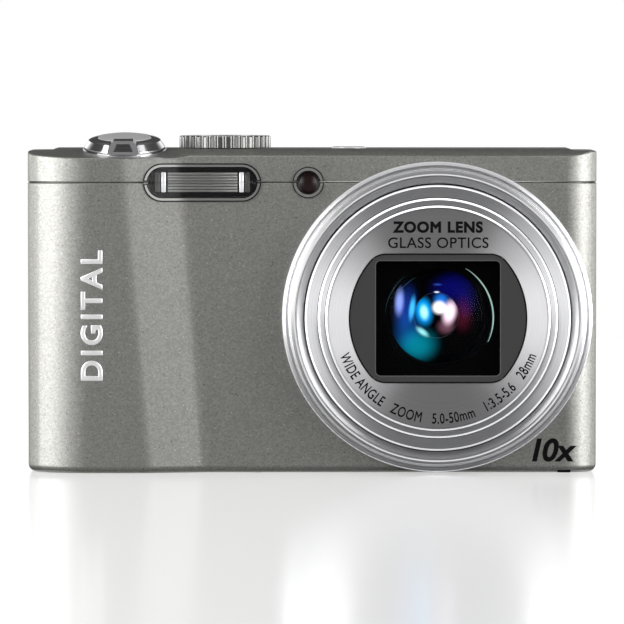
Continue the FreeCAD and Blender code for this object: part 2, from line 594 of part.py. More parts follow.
def doors():
    """The battery door with its latch, and the connector door."""
    c = CHAMBER
    plate = box(c["x0"], c["x1"] + 0.3, c["y0"], c["y1"], 0.05, 1.25)
    corners = [e for e in plate.Edges if abs(e.Length - 1.2) < 0.01 and e.BoundBox.XMax < c["x0"] + 0.1]
    plate = plate.makeFillet(1.2, corners)
    knuckle_y = (c["y0"] + 0.2, c["y1"] - 0.2)
    ends = [(DOOR_HINGE_X, y, DOOR_HINGE_Z) for y in knuckle_y]
    door = plate.fuse(rod(DOOR_KNUCKLE_R, *ends)).cut(rod(DOOR_PIN_R + 0.06, (DOOR_HINGE_X, -9, DOOR_HINGE_Z),
                                                          (DOOR_HINGE_X, 4, DOOR_HINGE_Z)))
    add("battery_door", door.cut(box(-44.5, -37.5, -4.6, -0.6, 0, 0.75)))
    latch = box(-44.3, -39.3, -4.4, -0.8, 0.1, 0.7)
    ridges = [box(-43.3 + 0.8 * i, -42.9 + 0.8 * i, -4.0, -1.2, 0, 0.22) for i in range(4)]
    add("door_latch", latch.cut(Part.makeCompound(ridges)))

    p = PORT
    plate = box(-SIDE_X, -48.9, p["y0"], p["y1"], p["z0"] - 0.5, p["z1"])
    corners = [e for e in plate.Edges if abs(e.Length - 0.85) < 0.01 and e.BoundBox.ZMin > p["z1"] - 0.1]
    plate = plate.makeFillet(0.8, corners)
    knuckle = rod(PORT_KNUCKLE_R, (PORT_HINGE_X, p["y0"], PORT_HINGE_Z), (PORT_HINGE_X, p["y1"], PORT_HINGE_Z))
    add("port_door", plate.fuse(knuckle).cut(
        rod(PORT_PIN_R + 0.05, (PORT_HINGE_X, -6, PORT_HINGE_Z), (PORT_HINGE_X, 6, PORT_HINGE_Z))))


def insides():
    """The battery and card with their holders, the boards, the connector and the speaker."""
    holder = box(-46.2, -9.9, -8.3, -1.0, 2.75, 43.3).cut(box(-45.5, -10.6, -7.9, -1.5, 0, 42.6))
    add("battery_holder", holder)
    add("battery", box(-45.2, -10.9, -7.7, -1.7, 2.9, 41.9))
    add("battery_contacts", *[box(x, x + 1.6, -5.6, -3.8, 41.95, 42.55) for x in (-31, -28, -25)])
    slot = box(-41.5, -14.5, -0.9, 2.1, 12.0, 41.0).cut(box(-40.3, -15.7, -0.55, 1.65, 11.0, 37.5))
    add("card_slot", slot)
    card = box(-40.0, -16.0, -0.5, 1.6, 3.4, 35.4)
    add("memory_card", card.cut(box(-41, -38, -1, 2, 33.4, 36)))
    board = box(-46.5, -4.5, 2.5, 3.3, 3.5, 43.0)
    chips = [box(x, x + w, 3.3, 4.3, z, z + h) for x, w, z, h in ((-33, 12, 20, 12), (-17, 9, 24, 9), (-43, 6, 8, 5))]
    add("main_board", board, *chips)
    shell = box(-48.3, -41.3, -3.4, 3.6, 43.9, 47.3)
    add("usb_connector", shell.cut(box(-49, -42, -3.0, 3.2, 44.3, 46.9)))
    add("speaker", rod(5.0, (SPEAKER_X, SPEAKER_Y, 51.5), (SPEAKER_X, SPEAKER_Y, 54.2)))


def fasteners():
    """The tripod socket, the case screws, and the two hinge pins with the strap bar."""
    socket = rod(4.2, (0, 0, 0), (0, 0, 6.5)).fuse(rod(5.4, (0, 0, 1.25), (0, 0, 2.1)))
    socket = socket.cut(rod(SOCKET_R, (0, 0, -1), (0, 0, SOCKET_DEPTH)))
    add("tripod_socket", socket.removeSplitter())
    strap_bar = rod(STRAP_BAR_R, (STRAP_BAR_X, 0.25, STRAP["z0"] - 0.6), (STRAP_BAR_X, 0.25, STRAP["z1"] + 0.6))
    add("steel_pins", door_pin(), port_pin(), strap_bar)
    screws = []
    for place, way in SCREWS:
        screw = screw_cylinder(place, way, SCREW_HEAD_R, 0.1, 0.7)
        screw = screw.fuse(screw_cylinder(place, way, SCREW_SHAFT_R, 0.7, 2.8))
        out = Vector(*way)
        slot_centre = Vector(*place) - out * 0.2
        for turn in (0, 90):
            slot = Part.makeBox(1.5, 0.34, 0.4, Vector(-0.75, -0.17, -0.1))
            slot.rotate(Vector(), UP, turn)
            slot.Placement = FreeCAD.Placement(slot_centre, FreeCAD.Rotation(UP, out)).multiply(slot.Placement)
            screw = screw.cut(slot)
        screws.append(screw)
    add("case_screws", *screws)


def main():
    """Builds every piece and writes one STEP file for each."""
    covers()
    top_controls()
    rear_controls()
    lens_fixed()
    lens_moving()
    barrier_blades()
    flash_and_lamp()
    screen()
    doors()
    insides()
    fasteners()
    os.makedirs("parts", exist_ok=True)
    for name, shape in sorted(parts.items()):
        shape.exportStep(f"parts/{name}.step")
        solids = len(shape.Solids)
        print(f"{name:20s} {solids} solids  {shape.Volume:10.1f} mm3  valid {shape.isValid()}")
    print(len(parts), "pieces")


if __name__ == "__main__":
    main()
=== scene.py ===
"""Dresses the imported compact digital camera: its finishes, its printed words and its finest pieces.

The row frame has +X towards the lens end and +Z up, and the lens looks along -Y. Sizes and places are in
millimetres, and become metres where a mesh is made.
"""
import json
import logging
import math
from dataclasses import dataclass
from enum import Enum
from typing import Any, Callable

import bmesh
import bpy
from mathutils import Matrix, Vector


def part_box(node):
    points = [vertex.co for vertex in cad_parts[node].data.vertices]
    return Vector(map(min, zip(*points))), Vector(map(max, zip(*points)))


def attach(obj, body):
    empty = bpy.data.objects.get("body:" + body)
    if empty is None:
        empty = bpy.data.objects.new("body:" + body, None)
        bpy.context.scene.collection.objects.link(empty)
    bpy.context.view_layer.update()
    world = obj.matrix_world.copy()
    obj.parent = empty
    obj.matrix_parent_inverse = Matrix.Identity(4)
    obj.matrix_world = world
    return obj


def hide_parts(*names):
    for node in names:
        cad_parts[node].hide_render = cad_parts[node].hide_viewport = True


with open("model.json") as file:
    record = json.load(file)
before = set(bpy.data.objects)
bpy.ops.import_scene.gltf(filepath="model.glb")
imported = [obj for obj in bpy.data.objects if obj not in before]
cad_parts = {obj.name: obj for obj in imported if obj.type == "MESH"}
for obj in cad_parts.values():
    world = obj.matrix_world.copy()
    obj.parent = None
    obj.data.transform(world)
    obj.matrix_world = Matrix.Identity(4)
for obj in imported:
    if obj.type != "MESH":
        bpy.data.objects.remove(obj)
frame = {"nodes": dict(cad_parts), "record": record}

LOG = logging.getLogger("camera")
MM = 0.001
DECK_LEAN = math.radians(9.0)            # how far the deck's front part and the shutter button lean forward
CURVE_DEG = 28.0                         # faces that meet at less than this belong to one smooth curve
LETTER_DEG = 40.0                        # the same for letters and dots, whose curves have longer steps
MERGE = 0.0005 * MM                      # points of a new piece that are closer than this are one
NODE_MERGE = 0.0002 * MM                 # the same for a copy of a CAD node
TURN_STEPS = 128                         # how many steps make a full turn of a spun piece
INK_THICK = 0.04                         # how thick printed ink is drawn


def corners(node: str) -> tuple[Vector, Vector]:
    """The lowest and the highest corner of a CAD node, in millimetres."""
    low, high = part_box(node)
    return low / MM, high / MM


def middle(node: str) -> Vector:
    """The middle of a CAD node, in millimetres."""
    low, high = corners(node)
    return (low + high) / 2


LENS = Vector((middle("lens_bezel_ring").x, 0.0, middle("lens_bezel_ring").z)) * MM  # on the optical axis
CASE_BACK = corners("rear_cover")[1].y   # the case reaches as far forwards, apart from the grip


class Body(Enum):
    """The moving bodies that the pieces ride on."""

    CASE = "body"
    LARGE = "large_barrel"
    MIDDLE = "middle_barrel"
    FRONT = "front_barrel"
    SHUTTER = "shutter_key"
    ZOOM = "zoom_ring"
    DIAL = "dial"
    POWER = "power_key"
    RECORD = "record_key"
    MENU = "menu_key"
    FUNCTION = "function_key"
    PLAYBACK = "playback_key"
    DELETE = "delete_key"
    PAD = "pad"
    OK = "ok_key"
    BATTERY_DOOR = "bay_door"
    PORT_DOOR = "port_flap"

    @classmethod
    def of_node(cls, node: str) -> "Body":
        """The body that a CAD node belongs to."""
        bodies = frame["record"]["behaviour"]["bodies"]
        return cls(next(body for body, nodes in bodies.items() if node in nodes))


# ---- colours and nodes ----------------------------------------------------------------------------
def linear(code: str) -> tuple[float, float, float, float]:
    """Turns an sRGB hex colour to linear.

    Args:
        code: a hash and six hex digits.

    Returns:
        Red, green, blue and an alpha of 1.
    """
    digits = code.lstrip("#")
    parts = [int(digits[i:i + 2], 16) / 255 for i in (0, 2, 4)]
    red, green, blue = (p / 12.92 if p <= 0.04045 else ((p + 0.055) / 1.055) ** 2.4 for p in parts)
    return red, green, blue, 1.0


def per_metre(spacing_mm: float) -> float:
    """The scale that gives a pattern its spacing."""
    return 1 / (spacing_mm * MM)


def add_node(tree: bpy.types.NodeTree, kind: str, values: dict[Any, Any] | None = None,
             **settings: Any) -> bpy.types.Node:
    """Adds a node with its settings and links.

    Args:
        tree: the node tree.
        kind: the node's type name, without "ShaderNode".
        values: input name or number to a plain value, or to the output socket that feeds it.
        **settings: the node's own properties.

    Returns:
        The new node.
    """
    node = tree.nodes.new("ShaderNode" + kind)
    for name, value in settings.items():
        setattr(node, name, value)
    for key, value in (values or {}).items():
        if isinstance(value, bpy.types.NodeSocket):
            tree.links.new(value, node.inputs[key])
        else:
            node.inputs[key].default_value = value
    return node


@dataclass(frozen=True)
class Finish:
    """What every finish has: a name, a base colour and how rough and how metallic it is."""

    name: str
    colour: str
    roughness: float = 0.4
    metallic: float = 0.0

    def build(self) -> bpy.types.Material:
        """Returns the material, made on first use."""
        found = bpy.data.materials.get(self.name)
        if found is not None:
            return found
        material = bpy.data.materials.new(self.name)
        material.use_nodes = True
        tree = material.node_tree
        tree.nodes.clear()
        output = add_node(tree, "OutputMaterial")
        tree.links.new(self.surface(tree), output.inputs["Surface"])
        return material

    def surface(self, tree: bpy.types.NodeTree) -> bpy.types.NodeSocket:
        """Adds the finish's nodes and returns the shader's output."""
        raise NotImplementedError

    def principled(self, tree: bpy.types.NodeTree, **values: Any) -> bpy.types.NodeSocket:
        """Adds the main shader with this finish's own values and the given inputs, and returns its output."""
        inputs = {"Base Color": linear(self.colour), "Roughness": self.roughness, "Metallic": self.metallic}
        inputs.update({name.replace("_", " "): value for name, value in values.items()})
        return add_node(tree, "BsdfPrincipled", inputs).outputs["BSDF"]


def object_place(tree: bpy.types.NodeTree, centre: Vector | None = None) -> bpy.types.NodeSocket:
    """The point on the surface in the row frame, counted from a centre where one is given."""
    place = add_node(tree, "TexCoord").outputs["Object"]
    if centre is None:
        return place
    return add_node(tree, "Mapping", {"Vector": place, "Location": tuple(-centre)}).outputs["Vector"]


@dataclass(frozen=True)
class MetallicPaint(Finish):
    """Sprayed paint with aluminium flake on magnesium: a soft sheen with fine light and dark specks."""

    metallic: float = 0.82
    roughness: float = 0.4
    flake_mm: float = 0.26       # a flake's spacing, drawn coarser than the real 0.05 so that it shows
    flake_spread: float = 0.15   # how far a flake's brightness strays from the middle
    fleck_mm: float = 0.7        # spacing of the few large flakes that stand out
    fleck_dark: float = -0.55    # how much the darkest of them takes away
    fleck_bright: float = 0.75   # how much the brightest of them adds
    cloud_mm: float = 16.7       # spacing of the faint clouds that spraying leaves
    cloud_spread: float = 0.03
    peel_mm: float = 0.35        # spacing of the orange peel in the lacquer
    flop: float = 0.2            # how little flake paint mirrors when it is seen edge-on

    def surface(self, tree: bpy.types.NodeTree) -> bpy.types.NodeSocket:
        """Flakes and flecks over a slightly clouded grey, under a lacquer with fine orange peel."""
        place = object_place(tree)
        flake = add_node(tree, "TexVoronoi", {"Vector": place, "Scale": per_metre(self.flake_mm)})
        level = add_node(tree, "SeparateColor", {"Color": flake.outputs["Color"]}).outputs["Red"]
        tone = add_node(tree, "MapRange", {"Value": level, "To Min": 1 - self.flake_spread,
                                           "To Max": 1 + self.flake_spread}).outputs["Result"]
        fleck = add_node(tree, "TexVoronoi", {"Vector": place, "Scale": per_metre(self.fleck_mm)})
        near = add_node(tree, "MapRange", {
            "Value": fleck.outputs["Distance"], "From Min": 0.12, "From Max": 0.2,
            "To Min": 1.0, "To Max": 0.0}).outputs["Result"]
        pick = add_node(tree, "SeparateColor", {"Color": fleck.outputs["Color"]})
        bright = add_node(tree, "MapRange", {
            "Value": pick.outputs["Red"], "From Min": 0.0, "From Max": 1.0,
            "To Min": self.fleck_dark, "To Max": self.fleck_bright}).outputs["Result"]
        spot = add_node(tree, "Math", {0: near, 1: bright}, operation="MULTIPLY").outputs[0]
        gain = add_node(tree, "Math", {0: tone, 1: spot}, operation="ADD").outputs[0]
        cloud = add_node(tree, "TexNoise", {
            "Vector": place, "Scale": per_metre(self.cloud_mm), "Detail": 2.0}).outputs["Fac"]
        drift = add_node(tree, "MapRange", {"Value": cloud, "To Min": 1 - self.cloud_spread,
                                            "To Max": 1 + self.cloud_spread}).outputs["Result"]
        gain = add_node(tree, "Math", {0: gain, 1: drift}, operation="MULTIPLY").outputs[0]
        base = add_node(tree, "VectorMath", {0: linear(self.colour)[:3], "Scale": gain}, operation="SCALE")
        peel = add_node(tree, "TexNoise", {
            "Vector": place, "Scale": per_metre(self.peel_mm), "Detail": 1.0}).outputs["Fac"]
        bump = add_node(tree, "Bump", {"Strength": 0.12, "Distance": 0.02 * MM, "Height": peel})
        return self.principled(tree, Base_Color=base.outputs[0], Normal=bump.outputs["Normal"],
                               Specular_Tint=(self.flop, self.flop, self.flop, 1.0))


@dataclass(frozen=True)
class TurnedMetal(Finish):
    """Aluminium finished on a lathe: brushed in circles, so light draws out into a bow-tie across it."""

    metallic: float = 1.0
    roughness: float = 0.34
    anisotropy: float = 0.8
    line_mm: float = 0.22        # spacing of the circular scratches, drawn coarser than the real 0.05
    contrast: float = 0.10       # how far a scratch's brightness strays from the middle

    def surface(self, tree: bpy.types.NodeTree) -> bpy.types.NodeSocket:
        """Rings of scratches round the optical axis, with the highlight drawn out across them."""
        spoke = add_node(tree, "VectorMath", {0: object_place(tree, LENS), 1: (1.0, 0.0, 1.0)},
                         operation="MULTIPLY").outputs[0]
        radius = add_node(tree, "VectorMath", {0: spoke}, operation="LENGTH").outputs["Value"]
        lines = add_node(tree, "TexNoise", {"W": radius, "Scale": per_metre(self.line_mm), "Detail": 2.0},
                         noise_dimensions="1D").outputs["Fac"]
        tone = add_node(tree, "MapRange", {
            "Value": lines, "From Min": 0.3, "From Max": 0.7,
            "To Min": 1 - self.contrast, "To Max": 1 + self.contrast}).outputs["Result"]
        base = add_node(tree, "VectorMath", {0: linear(self.colour)[:3], "Scale": tone}, operation="SCALE")
        bump = add_node(tree, "Bump", {"Strength": 0.03, "Distance": 0.01 * MM, "Height": lines})
        tangent = add_node(tree, "VectorTransform", {"Vector": spoke}, vector_type="VECTOR",
                           convert_from="OBJECT", convert_to="WORLD").outputs["Vector"]
        return self.principled(tree, Base_Color=base.outputs[0], Normal=bump.outputs["Normal"],
                               Tangent=tangent, Anisotropic=self.anisotropy)


@dataclass(frozen=True)
class Satin(Finish):
    """Metal, plastic or glass that is blasted, plated or ground: an even satin with a very fine grain."""

    metallic: float = 1.0
    roughness: float = 0.35
    grain_mm: float = 0.12
    lift: float = 0.0            # light given off in the base colour: a painted highlight, so that thin edges look lit from every side

    def surface(self, tree: bpy.types.NodeTree) -> bpy.types.NodeSocket:
        """A fine grain in the roughness and the height, and light given off as a painted highlight where lift
        is set.
        """
        grain = add_node(tree, "TexNoise", {
            "Vector": object_place(tree), "Scale": per_metre(self.grain_mm), "Detail": 2.0}).outputs["Fac"]
        rough = add_node(tree, "MapRange", {"Value": grain, "To Min": self.roughness * 0.8,
                                            "To Max": self.roughness * 1.2}).outputs["Result"]
        bump = add_node(tree, "Bump", {"Strength": 0.08, "Distance": 0.01 * MM, "Height": grain})
        return self.principled(tree, Roughness=rough, Normal=bump.outputs["Normal"],
                               Emission_Color=linear(self.colour), Emission_Strength=self.lift)


@dataclass(frozen=True)
class Plated(Finish):
    """Bright chrome plate: almost a mirror, with faint handling haze."""

    metallic: float = 1.0
    roughness: float = 0.09
    haze_mm: float = 2.5

    def surface(self, tree: bpy.types.NodeTree) -> bpy.types.NodeSocket:
        """Patches of haze in the roughness."""
        haze = add_node(tree, "TexNoise", {
            "Vector": object_place(tree), "Scale": per_metre(self.haze_mm), "Detail": 3.0}).outputs["Fac"]
        rough = add_node(tree, "MapRange", {"Value": haze, "To Min": self.roughness * 0.7,
                                            "To Max": self.roughness * 1.4}).outputs["Result"]
        return self.principled(tree, Roughness=rough)


@dataclass(frozen=True)
class Moulded(Finish):
    """Moulded plastic with the fine spark-eroded grain of its tool."""

    roughness: float = 0.5
    grain_mm: float = 0.2
    depth: float = 0.15          # how strongly the grain shows
    specular: float = 0.5

    def surface(self, tree: bpy.types.NodeTree) -> bpy.types.NodeSocket:
        """The tool's grain in the colour and the height."""
        grain = add_node(tree, "TexNoise", {
            "Vector": object_place(tree), "Scale": per_metre(self.grain_mm), "Detail": 3.0}).outputs["Fac"]
        tone = add_node(tree, "MapRange", {"Value": grain, "To Min": 0.9, "To Max": 1.1}).outputs["Result"]
        base = add_node(tree, "VectorMath", {0: linear(self.colour)[:3], "Scale": tone}, operation="SCALE")
        bump = add_node(tree, "Bump", {"Strength": self.depth, "Distance": 0.03 * MM, "Height": grain})
        return self.principled(tree, Base_Color=base.outputs[0], Normal=bump.outputs["Normal"],
                               Specular_IOR_Level=self.specular)


@dataclass(frozen=True)
class Coated(Finish):
    """Optical glass with an anti-reflection coating: clear, with tinted mirror images of the lights."""

    colour: str = "#EAF2FF"
    roughness: float = 0.01
    tint: str = "#5B8CFF"        # colour of what it mirrors
    strength: float = 0.5        # how much the coating mirrors
    bare: float = 1.0            # how much of plain glass's own mirror image is left

    def surface(self, tree: bpy.types.NodeTree) -> bpy.types.NodeSocket:
        """Clear glass under a tinted gloss, which grows towards its edges as it does on real glass."""
        clear = add_node(tree, "BsdfTransparent", {"Color": linear(self.colour)}).outputs[0]
        sheen = add_node(tree, "BsdfGlossy", {"Color": linear(self.tint), "Roughness": self.roughness})
        edge = add_node(tree, "Fresnel", {"IOR": 1.5}).outputs[0]
        amount = add_node(tree, "Math", {0: edge, 1: self.bare, 2: self.strength},
                          operation="MULTIPLY_ADD").outputs[0]
        return add_node(tree, "MixShader", {0: amount, 1: clear, 2: sheen.outputs[0]}).outputs[0]


@dataclass(frozen=True)
class PaintedReflection:
    """One soft patch of painted reflection, given off as light.

    Its middle and its half-sizes are in millimetres from the optical axis.
    """

    x: float
    z: float
    half_x: float
    half_z: float
    colour: str
    strength: float = 1.0
    turn_deg: float = 0.0


@dataclass(frozen=True)
class PaintedReflectionGroup(Finish):
    """Coated faces deep in the lens: dark, with painted reflections: patches of blue and rose that stand for
    what coatings throw back.

    The patches give off their light and stay where they are on the glass.
    """

    painted_reflections: tuple[PaintedReflection, ...] = ()
    clear: float = 0.0           # how clear it is where no patch lies

    def surface(self, tree: bpy.types.NodeTree) -> bpy.types.NodeSocket:
        """The sum of the painted reflections, given off as light, over a black that can be seen through as
        far as it is clear.
        """
        place = object_place(tree, LENS)
        total = self.patch(tree, place, self.painted_reflections[0])
        for glow in self.painted_reflections[1:]:
            total = add_node(tree, "VectorMath", {0: total, 1: self.patch(tree, place, glow)},
                             operation="ADD").outputs[0]
        # The patches are painted reflections: they give off their own light.
        shine = add_node(tree, "Emission", {"Color": total, "Strength": 1.0}).outputs[0]
        black = add_node(tree, "BsdfDiffuse", {"Color": linear(self.colour)}).outputs[0]
        see = add_node(tree, "BsdfTransparent", {"Color": (1.0, 1.0, 1.0, 1.0)}).outputs[0]
        base = add_node(tree, "MixShader", {0: self.clear, 1: black, 2: see}).outputs[0]
        return add_node(tree, "AddShader", {0: base, 1: shine}).outputs[0]

    @staticmethod
    def patch(tree: bpy.types.NodeTree, place: bpy.types.NodeSocket, glow: PaintedReflection) -> bpy.types.NodeSocket:
        """The colour that one patch adds, full in its middle and none past its rim."""
        local = add_node(tree, "Mapping", {
            "Vector": place, "Location": (glow.x * MM, 0.0, glow.z * MM),
            "Rotation": (0.0, math.radians(glow.turn_deg), 0.0),
            "Scale": (glow.half_x * MM, 1.0, glow.half_z * MM)}, vector_type="TEXTURE").outputs["Vector"]
        flat = add_node(tree, "VectorMath", {0: local, 1: (1.0, 0.0, 1.0)}, operation="MULTIPLY").outputs[0]
        away = add_node(tree, "VectorMath", {0: flat}, operation="LENGTH").outputs["Value"]
        level = add_node(tree, "MapRange", {
            "Value": away, "From Min": 1.0, "From Max": 0.0, "To Min": 0.0, "To Max": glow.strength},
            interpolation_type="SMOOTHERSTEP").outputs["Result"]
        return add_node(tree, "VectorMath", {0: linear(glow.colour)[:3], "Scale": level},
                        operation="SCALE").outputs[0]


@dataclass(frozen=True)
class Ink(Finish):
    """Screen-printed ink: flat and even, with a slight tooth."""

    roughness: float = 0.45
    specular: float = 0.08
    tooth_mm: float = 0.15

    def surface(self, tree: bpy.types.NodeTree) -> bpy.types.NodeSocket:
        """A slight tooth in the roughness."""
        tooth = add_node(tree, "TexNoise", {
            "Vector": object_place(tree), "Scale": per_metre(self.tooth_mm), "Detail": 1.0}).outputs["Fac"]
        rough = add_node(tree, "MapRange", {"Value": tooth, "To Min": self.roughness - 0.06,
                                            "To Max": self.roughness + 0.06}).outputs["Result"]
        return self.principled(tree, Roughness=rough, Specular_IOR_Level=self.specular)


@dataclass(frozen=True)
class ScreenGlass(Finish):
    """The rear screen: hard-coated acrylic over a display that is off, with a blacker printed border."""

    roughness: float = 0.06
    display: str = "#101114"
    display_x: tuple[float, float] = (-16.5, 43.5)   # from where to where the display reaches
    display_z: tuple[float, float] = (5.6, 46.2)

    def surface(self, tree: bpy.types.NodeTree) -> bpy.types.NodeSocket:
        """The display's grey inside its four edges, and the border's black outside them."""
        parts = add_node(tree, "SeparateXYZ", {0: object_place(tree)})
        across = self.between(tree, parts.outputs["X"], *self.display_x)
        upwards = self.between(tree, parts.outputs["Z"], *self.display_z)
        inside = add_node(tree, "Math", {0: across, 1: upwards}, operation="MULTIPLY").outputs[0]
        colour = add_node(tree, "Mix", {"Factor": inside, 6: linear(self.colour), 7: linear(self.display)},
                          data_type="RGBA").outputs[2]
        return self.principled(tree, Base_Color=colour, Specular_IOR_Level=0.6)

    @staticmethod
    def between(tree: bpy.types.NodeTree, value: bpy.types.NodeSocket, low: float,
                high: float) -> bpy.types.NodeSocket:
        """1 where a value in metres lies between two places in millimetres, and 0 elsewhere."""
        over = add_node(tree, "Math", {0: value, 1: low * MM}, operation="GREATER_THAN").outputs[0]
        under = add_node(tree, "Math", {0: value, 1: high * MM}, operation="LESS_THAN").outputs[0]
        return add_node(tree, "Math", {0: over, 1: under}, operation="MULTIPLY").outputs[0]


# Flake paint sprayed on cast magnesium: a soft grey that goes pale where the case rounds towards a light.
PAINT = MetallicPaint("Metallic_Flake_Paint", "#959591")
# Aluminium turned with a diamond tool: the brightest of the rings, with a long white streak on each side.
BRIGHT_RING = TurnedMetal("Diamond_Turned_Aluminium", "#E6E6E8", roughness=0.32, anisotropy=0.93,
                          contrast=0.03)
# Aluminium turned and anodised: greyer and softer than the bright ring round it.
FUNNEL = TurnedMetal("Anodised_Turned_Aluminium", "#C8C8CA", roughness=0.38, anisotropy=0.93, contrast=0.04)
# Aluminium tube turned to size: pale grey, with the turning lines just showing.
BARREL = TurnedMetal("Turned_Barrel_Aluminium", "#D6D6D8", roughness=0.38, anisotropy=0.95, contrast=0.05)
# Aluminium sheet brushed while it spins: a broad, soft bow-tie behind the black words.
PLATE = TurnedMetal("Spun_Name_Plate", "#D2D1D3", roughness=0.4, anisotropy=0.95, contrast=0.04)
# Polycarbonate rounded and polished at the edge: a thin grey line round the window, lighter than the frame
# and giving off a little light, a painted highlight.
FRAME_EDGE_PAINTED_HIGHLIGHT = Satin("Window_Edge_Painted_Highlight", "#5A5A5A", roughness=0.25, metallic=0.0, lift=0.02)
# An edge cut bare with a diamond after anodising: a hard white line, which also gives off light, partly a
# painted highlight.
BRIGHT_CUT_PAINTED_HIGHLIGHT = Satin("Bright_Cut_Edge_Painted_Highlight", "#F8F8FA", roughness=0.22, lift=0.55)
# Nickel plate on a blasted rim: an even, slightly warm grey.
TRIM = Satin("Satin_Nickel_Trim", "#B4B4B1", roughness=0.34)
# Pressed aluminium sheet: light and dark bands as the ribs turn to and from the lights.
RIB_METAL = Satin("Ribbed_Reflector", "#C4C4C2", roughness=0.34)
# Machined aluminium, anodised grey: each tooth has a light and a dark side.
DIAL_METAL = Satin("Machined_Dial_Aluminium", "#737371", roughness=0.3)
# Satin chrome on moulded plastic: a pale dome with one soft highlight.
BUTTON_METAL = Satin("Satin_Chrome", "#C6C6C6", roughness=0.42, metallic=0.55)
# Bright chrome on polished plastic: black and white mirror images side by side.
CHROME = Plated("Bright_Chrome", "#E4E4E6")
# Steel with a thin zinc plate: a dull grey with small glints.
STEEL = Satin("Zinc_Plated_Steel", "#A9A9A6", roughness=0.3)
# Polycarbonate from a matte tool: charcoal with hardly any sheen.
FRAME_BLACK = Moulded("Matte_Grey_Polycarbonate", "#323232", roughness=0.42, depth=0.08)
# Black polycarbonate made to swallow light: the dark that the lens glass stands in.
LENS_BLACK = Moulded("Matte_Black_Polycarbonate", "#030304", roughness=0.55, depth=0.06, specular=0.03)
# Black ABS from a grained tool: soft grey highlights on near black.
CASE_BLACK = Moulded("Black_ABS", "#17171A", roughness=0.5)
# ABS keys from a satin tool: an even sheen over grey, dark grey or red.
KEY_GREY = Moulded("Grey_Satin_ABS", "#6E6E6C", roughness=0.34, depth=0.06)
KEY_DARK = Moulded("Dark_Satin_ABS", "#2A2A2B", roughness=0.36, depth=0.06)
RECORD_RED = Moulded("Red_Satin_ABS", "#8E1F1B", roughness=0.34, depth=0.05)
# Acrylic tinted through: so deep a red that it is nearly black, under a sharp gloss.
LAMP_RED = Moulded("Tinted_Acrylic", "#1A0D0B", roughness=0.1, depth=0.0)
# Solder mask on glass and epoxy: dark green with a waxy shine.
BOARD = Moulded("Solder_Mask_Board", "#0F4A2A", roughness=0.38, depth=0.1)
# Bare brass spring strip: yellow with sharp glints.
BRASS = Satin("Plain_Brass", "#C9A24B", roughness=0.28)
# Film shrunk round a cell: dark blue and fairly glossy.
LABEL_BLUE = Moulded("Wrapped_Cell_Film", "#27364E", roughness=0.3, depth=0.04)
# Optical glass with many coats: so clear that only a trace of the lights shows on it.
FRONT_GLASS = Coated("Coated_Front_Element", "#FFFFFF", tint="#DCE9FF", strength=0.002, bare=0.03)
# Optical glass with one coat: a faint blue mirror image.
FOCUS_GLASS = Coated("Coated_Focus_Element", "#DCE8FF", tint="#1E6BFF", strength=0.02, roughness=0.05,
                     bare=0.1)
# Clear acrylic: seen only by the plain gloss at its edges.
FLASH_CLEAR = Coated("Clear_Acrylic_Window", "#FFFFFF", tint="#FFFFFF", strength=0.0, roughness=0.03,
                     bare=0.7)
# Coated glass in a black tube; painted reflections given off as light: teal below, deep blue above, a trace
# of red and small bright slivers.
INNER_GLASS = PaintedReflectionGroup("Zoom_Group_Painted_Reflections", "#000001", clear=0.92, painted_reflections=(
    PaintedReflection(-6.5, 2.4, 1.2, 3.5, "#7C90D8", 0.8, 4.0),
    PaintedReflection(-5.4, 1.4, 2.6, 5.4, "#0C2C84", 0.6, 10.0),
    PaintedReflection(-5.0, -2.4, 3.4, 5.2, "#053C78", 0.6, 14.0),
    PaintedReflection(-3.3, -5.2, 4.9, 4.1, "#00788C", 0.62, -12.0),
    PaintedReflection(2.6, 4.8, 5.2, 3.6, "#07076C", 0.42, -8.0),
    PaintedReflection(5.0, 2.6, 2.8, 4.0, "#060650", 0.4),
    PaintedReflection(4.6, 0.2, 2.4, 4.4, "#3C0A1A", 0.6),
    PaintedReflection(-4.3, 1.3, 0.8, 3.1, "#3CB4F0", 0.75, 8.0),
    PaintedReflection(-2.5, -2.8, 1.9, 0.8, "#8CD4D4", 0.7, 36.0),
    PaintedReflection(0.15, 5.45, 1.2, 0.32, "#24409C", 0.6),
    PaintedReflection(0.0, 4.15, 0.75, 0.2, "#E8F4FF", 0.8),
))
# The small coated group at the iris, with painted reflections given off as light: the brightest spot in the
# lens, white between sky blue and rose.
DEEP_GLASS = PaintedReflectionGroup("Iris_Group_Painted_Reflections", "#010102", painted_reflections=(
    PaintedReflection(0.8, 2.6, 1.9, 1.9, "#1E7CE0", 1.3),
    PaintedReflection(0.5, 1.35, 1.75, 1.65, "#FFFFFF", 2.6),
    PaintedReflection(-2.2, 0.7, 2.1, 3.4, "#08A6FF", 2.0, -8.0),
    PaintedReflection(-2.15, 0.5, 1.1, 1.9, "#C8F2FF", 1.3, -8.0),
    PaintedReflection(2.3, 0.5, 1.8, 3.1, "#F0D2E6", 2.4, 12.0),
    PaintedReflection(1.7, -2.0, 2.3, 2.0, "#7A5062", 1.0),
))
# The front element's rim where it catches the light: a frosted, pale green arc given off as light, a painted
# reflection.
PALE_GLINT = Satin("Pale_Painted_Reflection", "#9CBEB4", roughness=0.5, metallic=0.0, lift=0.4)
# Faint teal hairlines inside the rim, given off as light: painted reflections.
TEAL_GLINT = Satin("Teal_Painted_Reflection", "#0E3A42", roughness=0.5, metallic=0.0, lift=0.4)
# Acrylic with a hard coat over the display: deep black with a sharp mirror image.
SCREEN = ScreenGlass("Hard_Coated_Acrylic", "#050506")
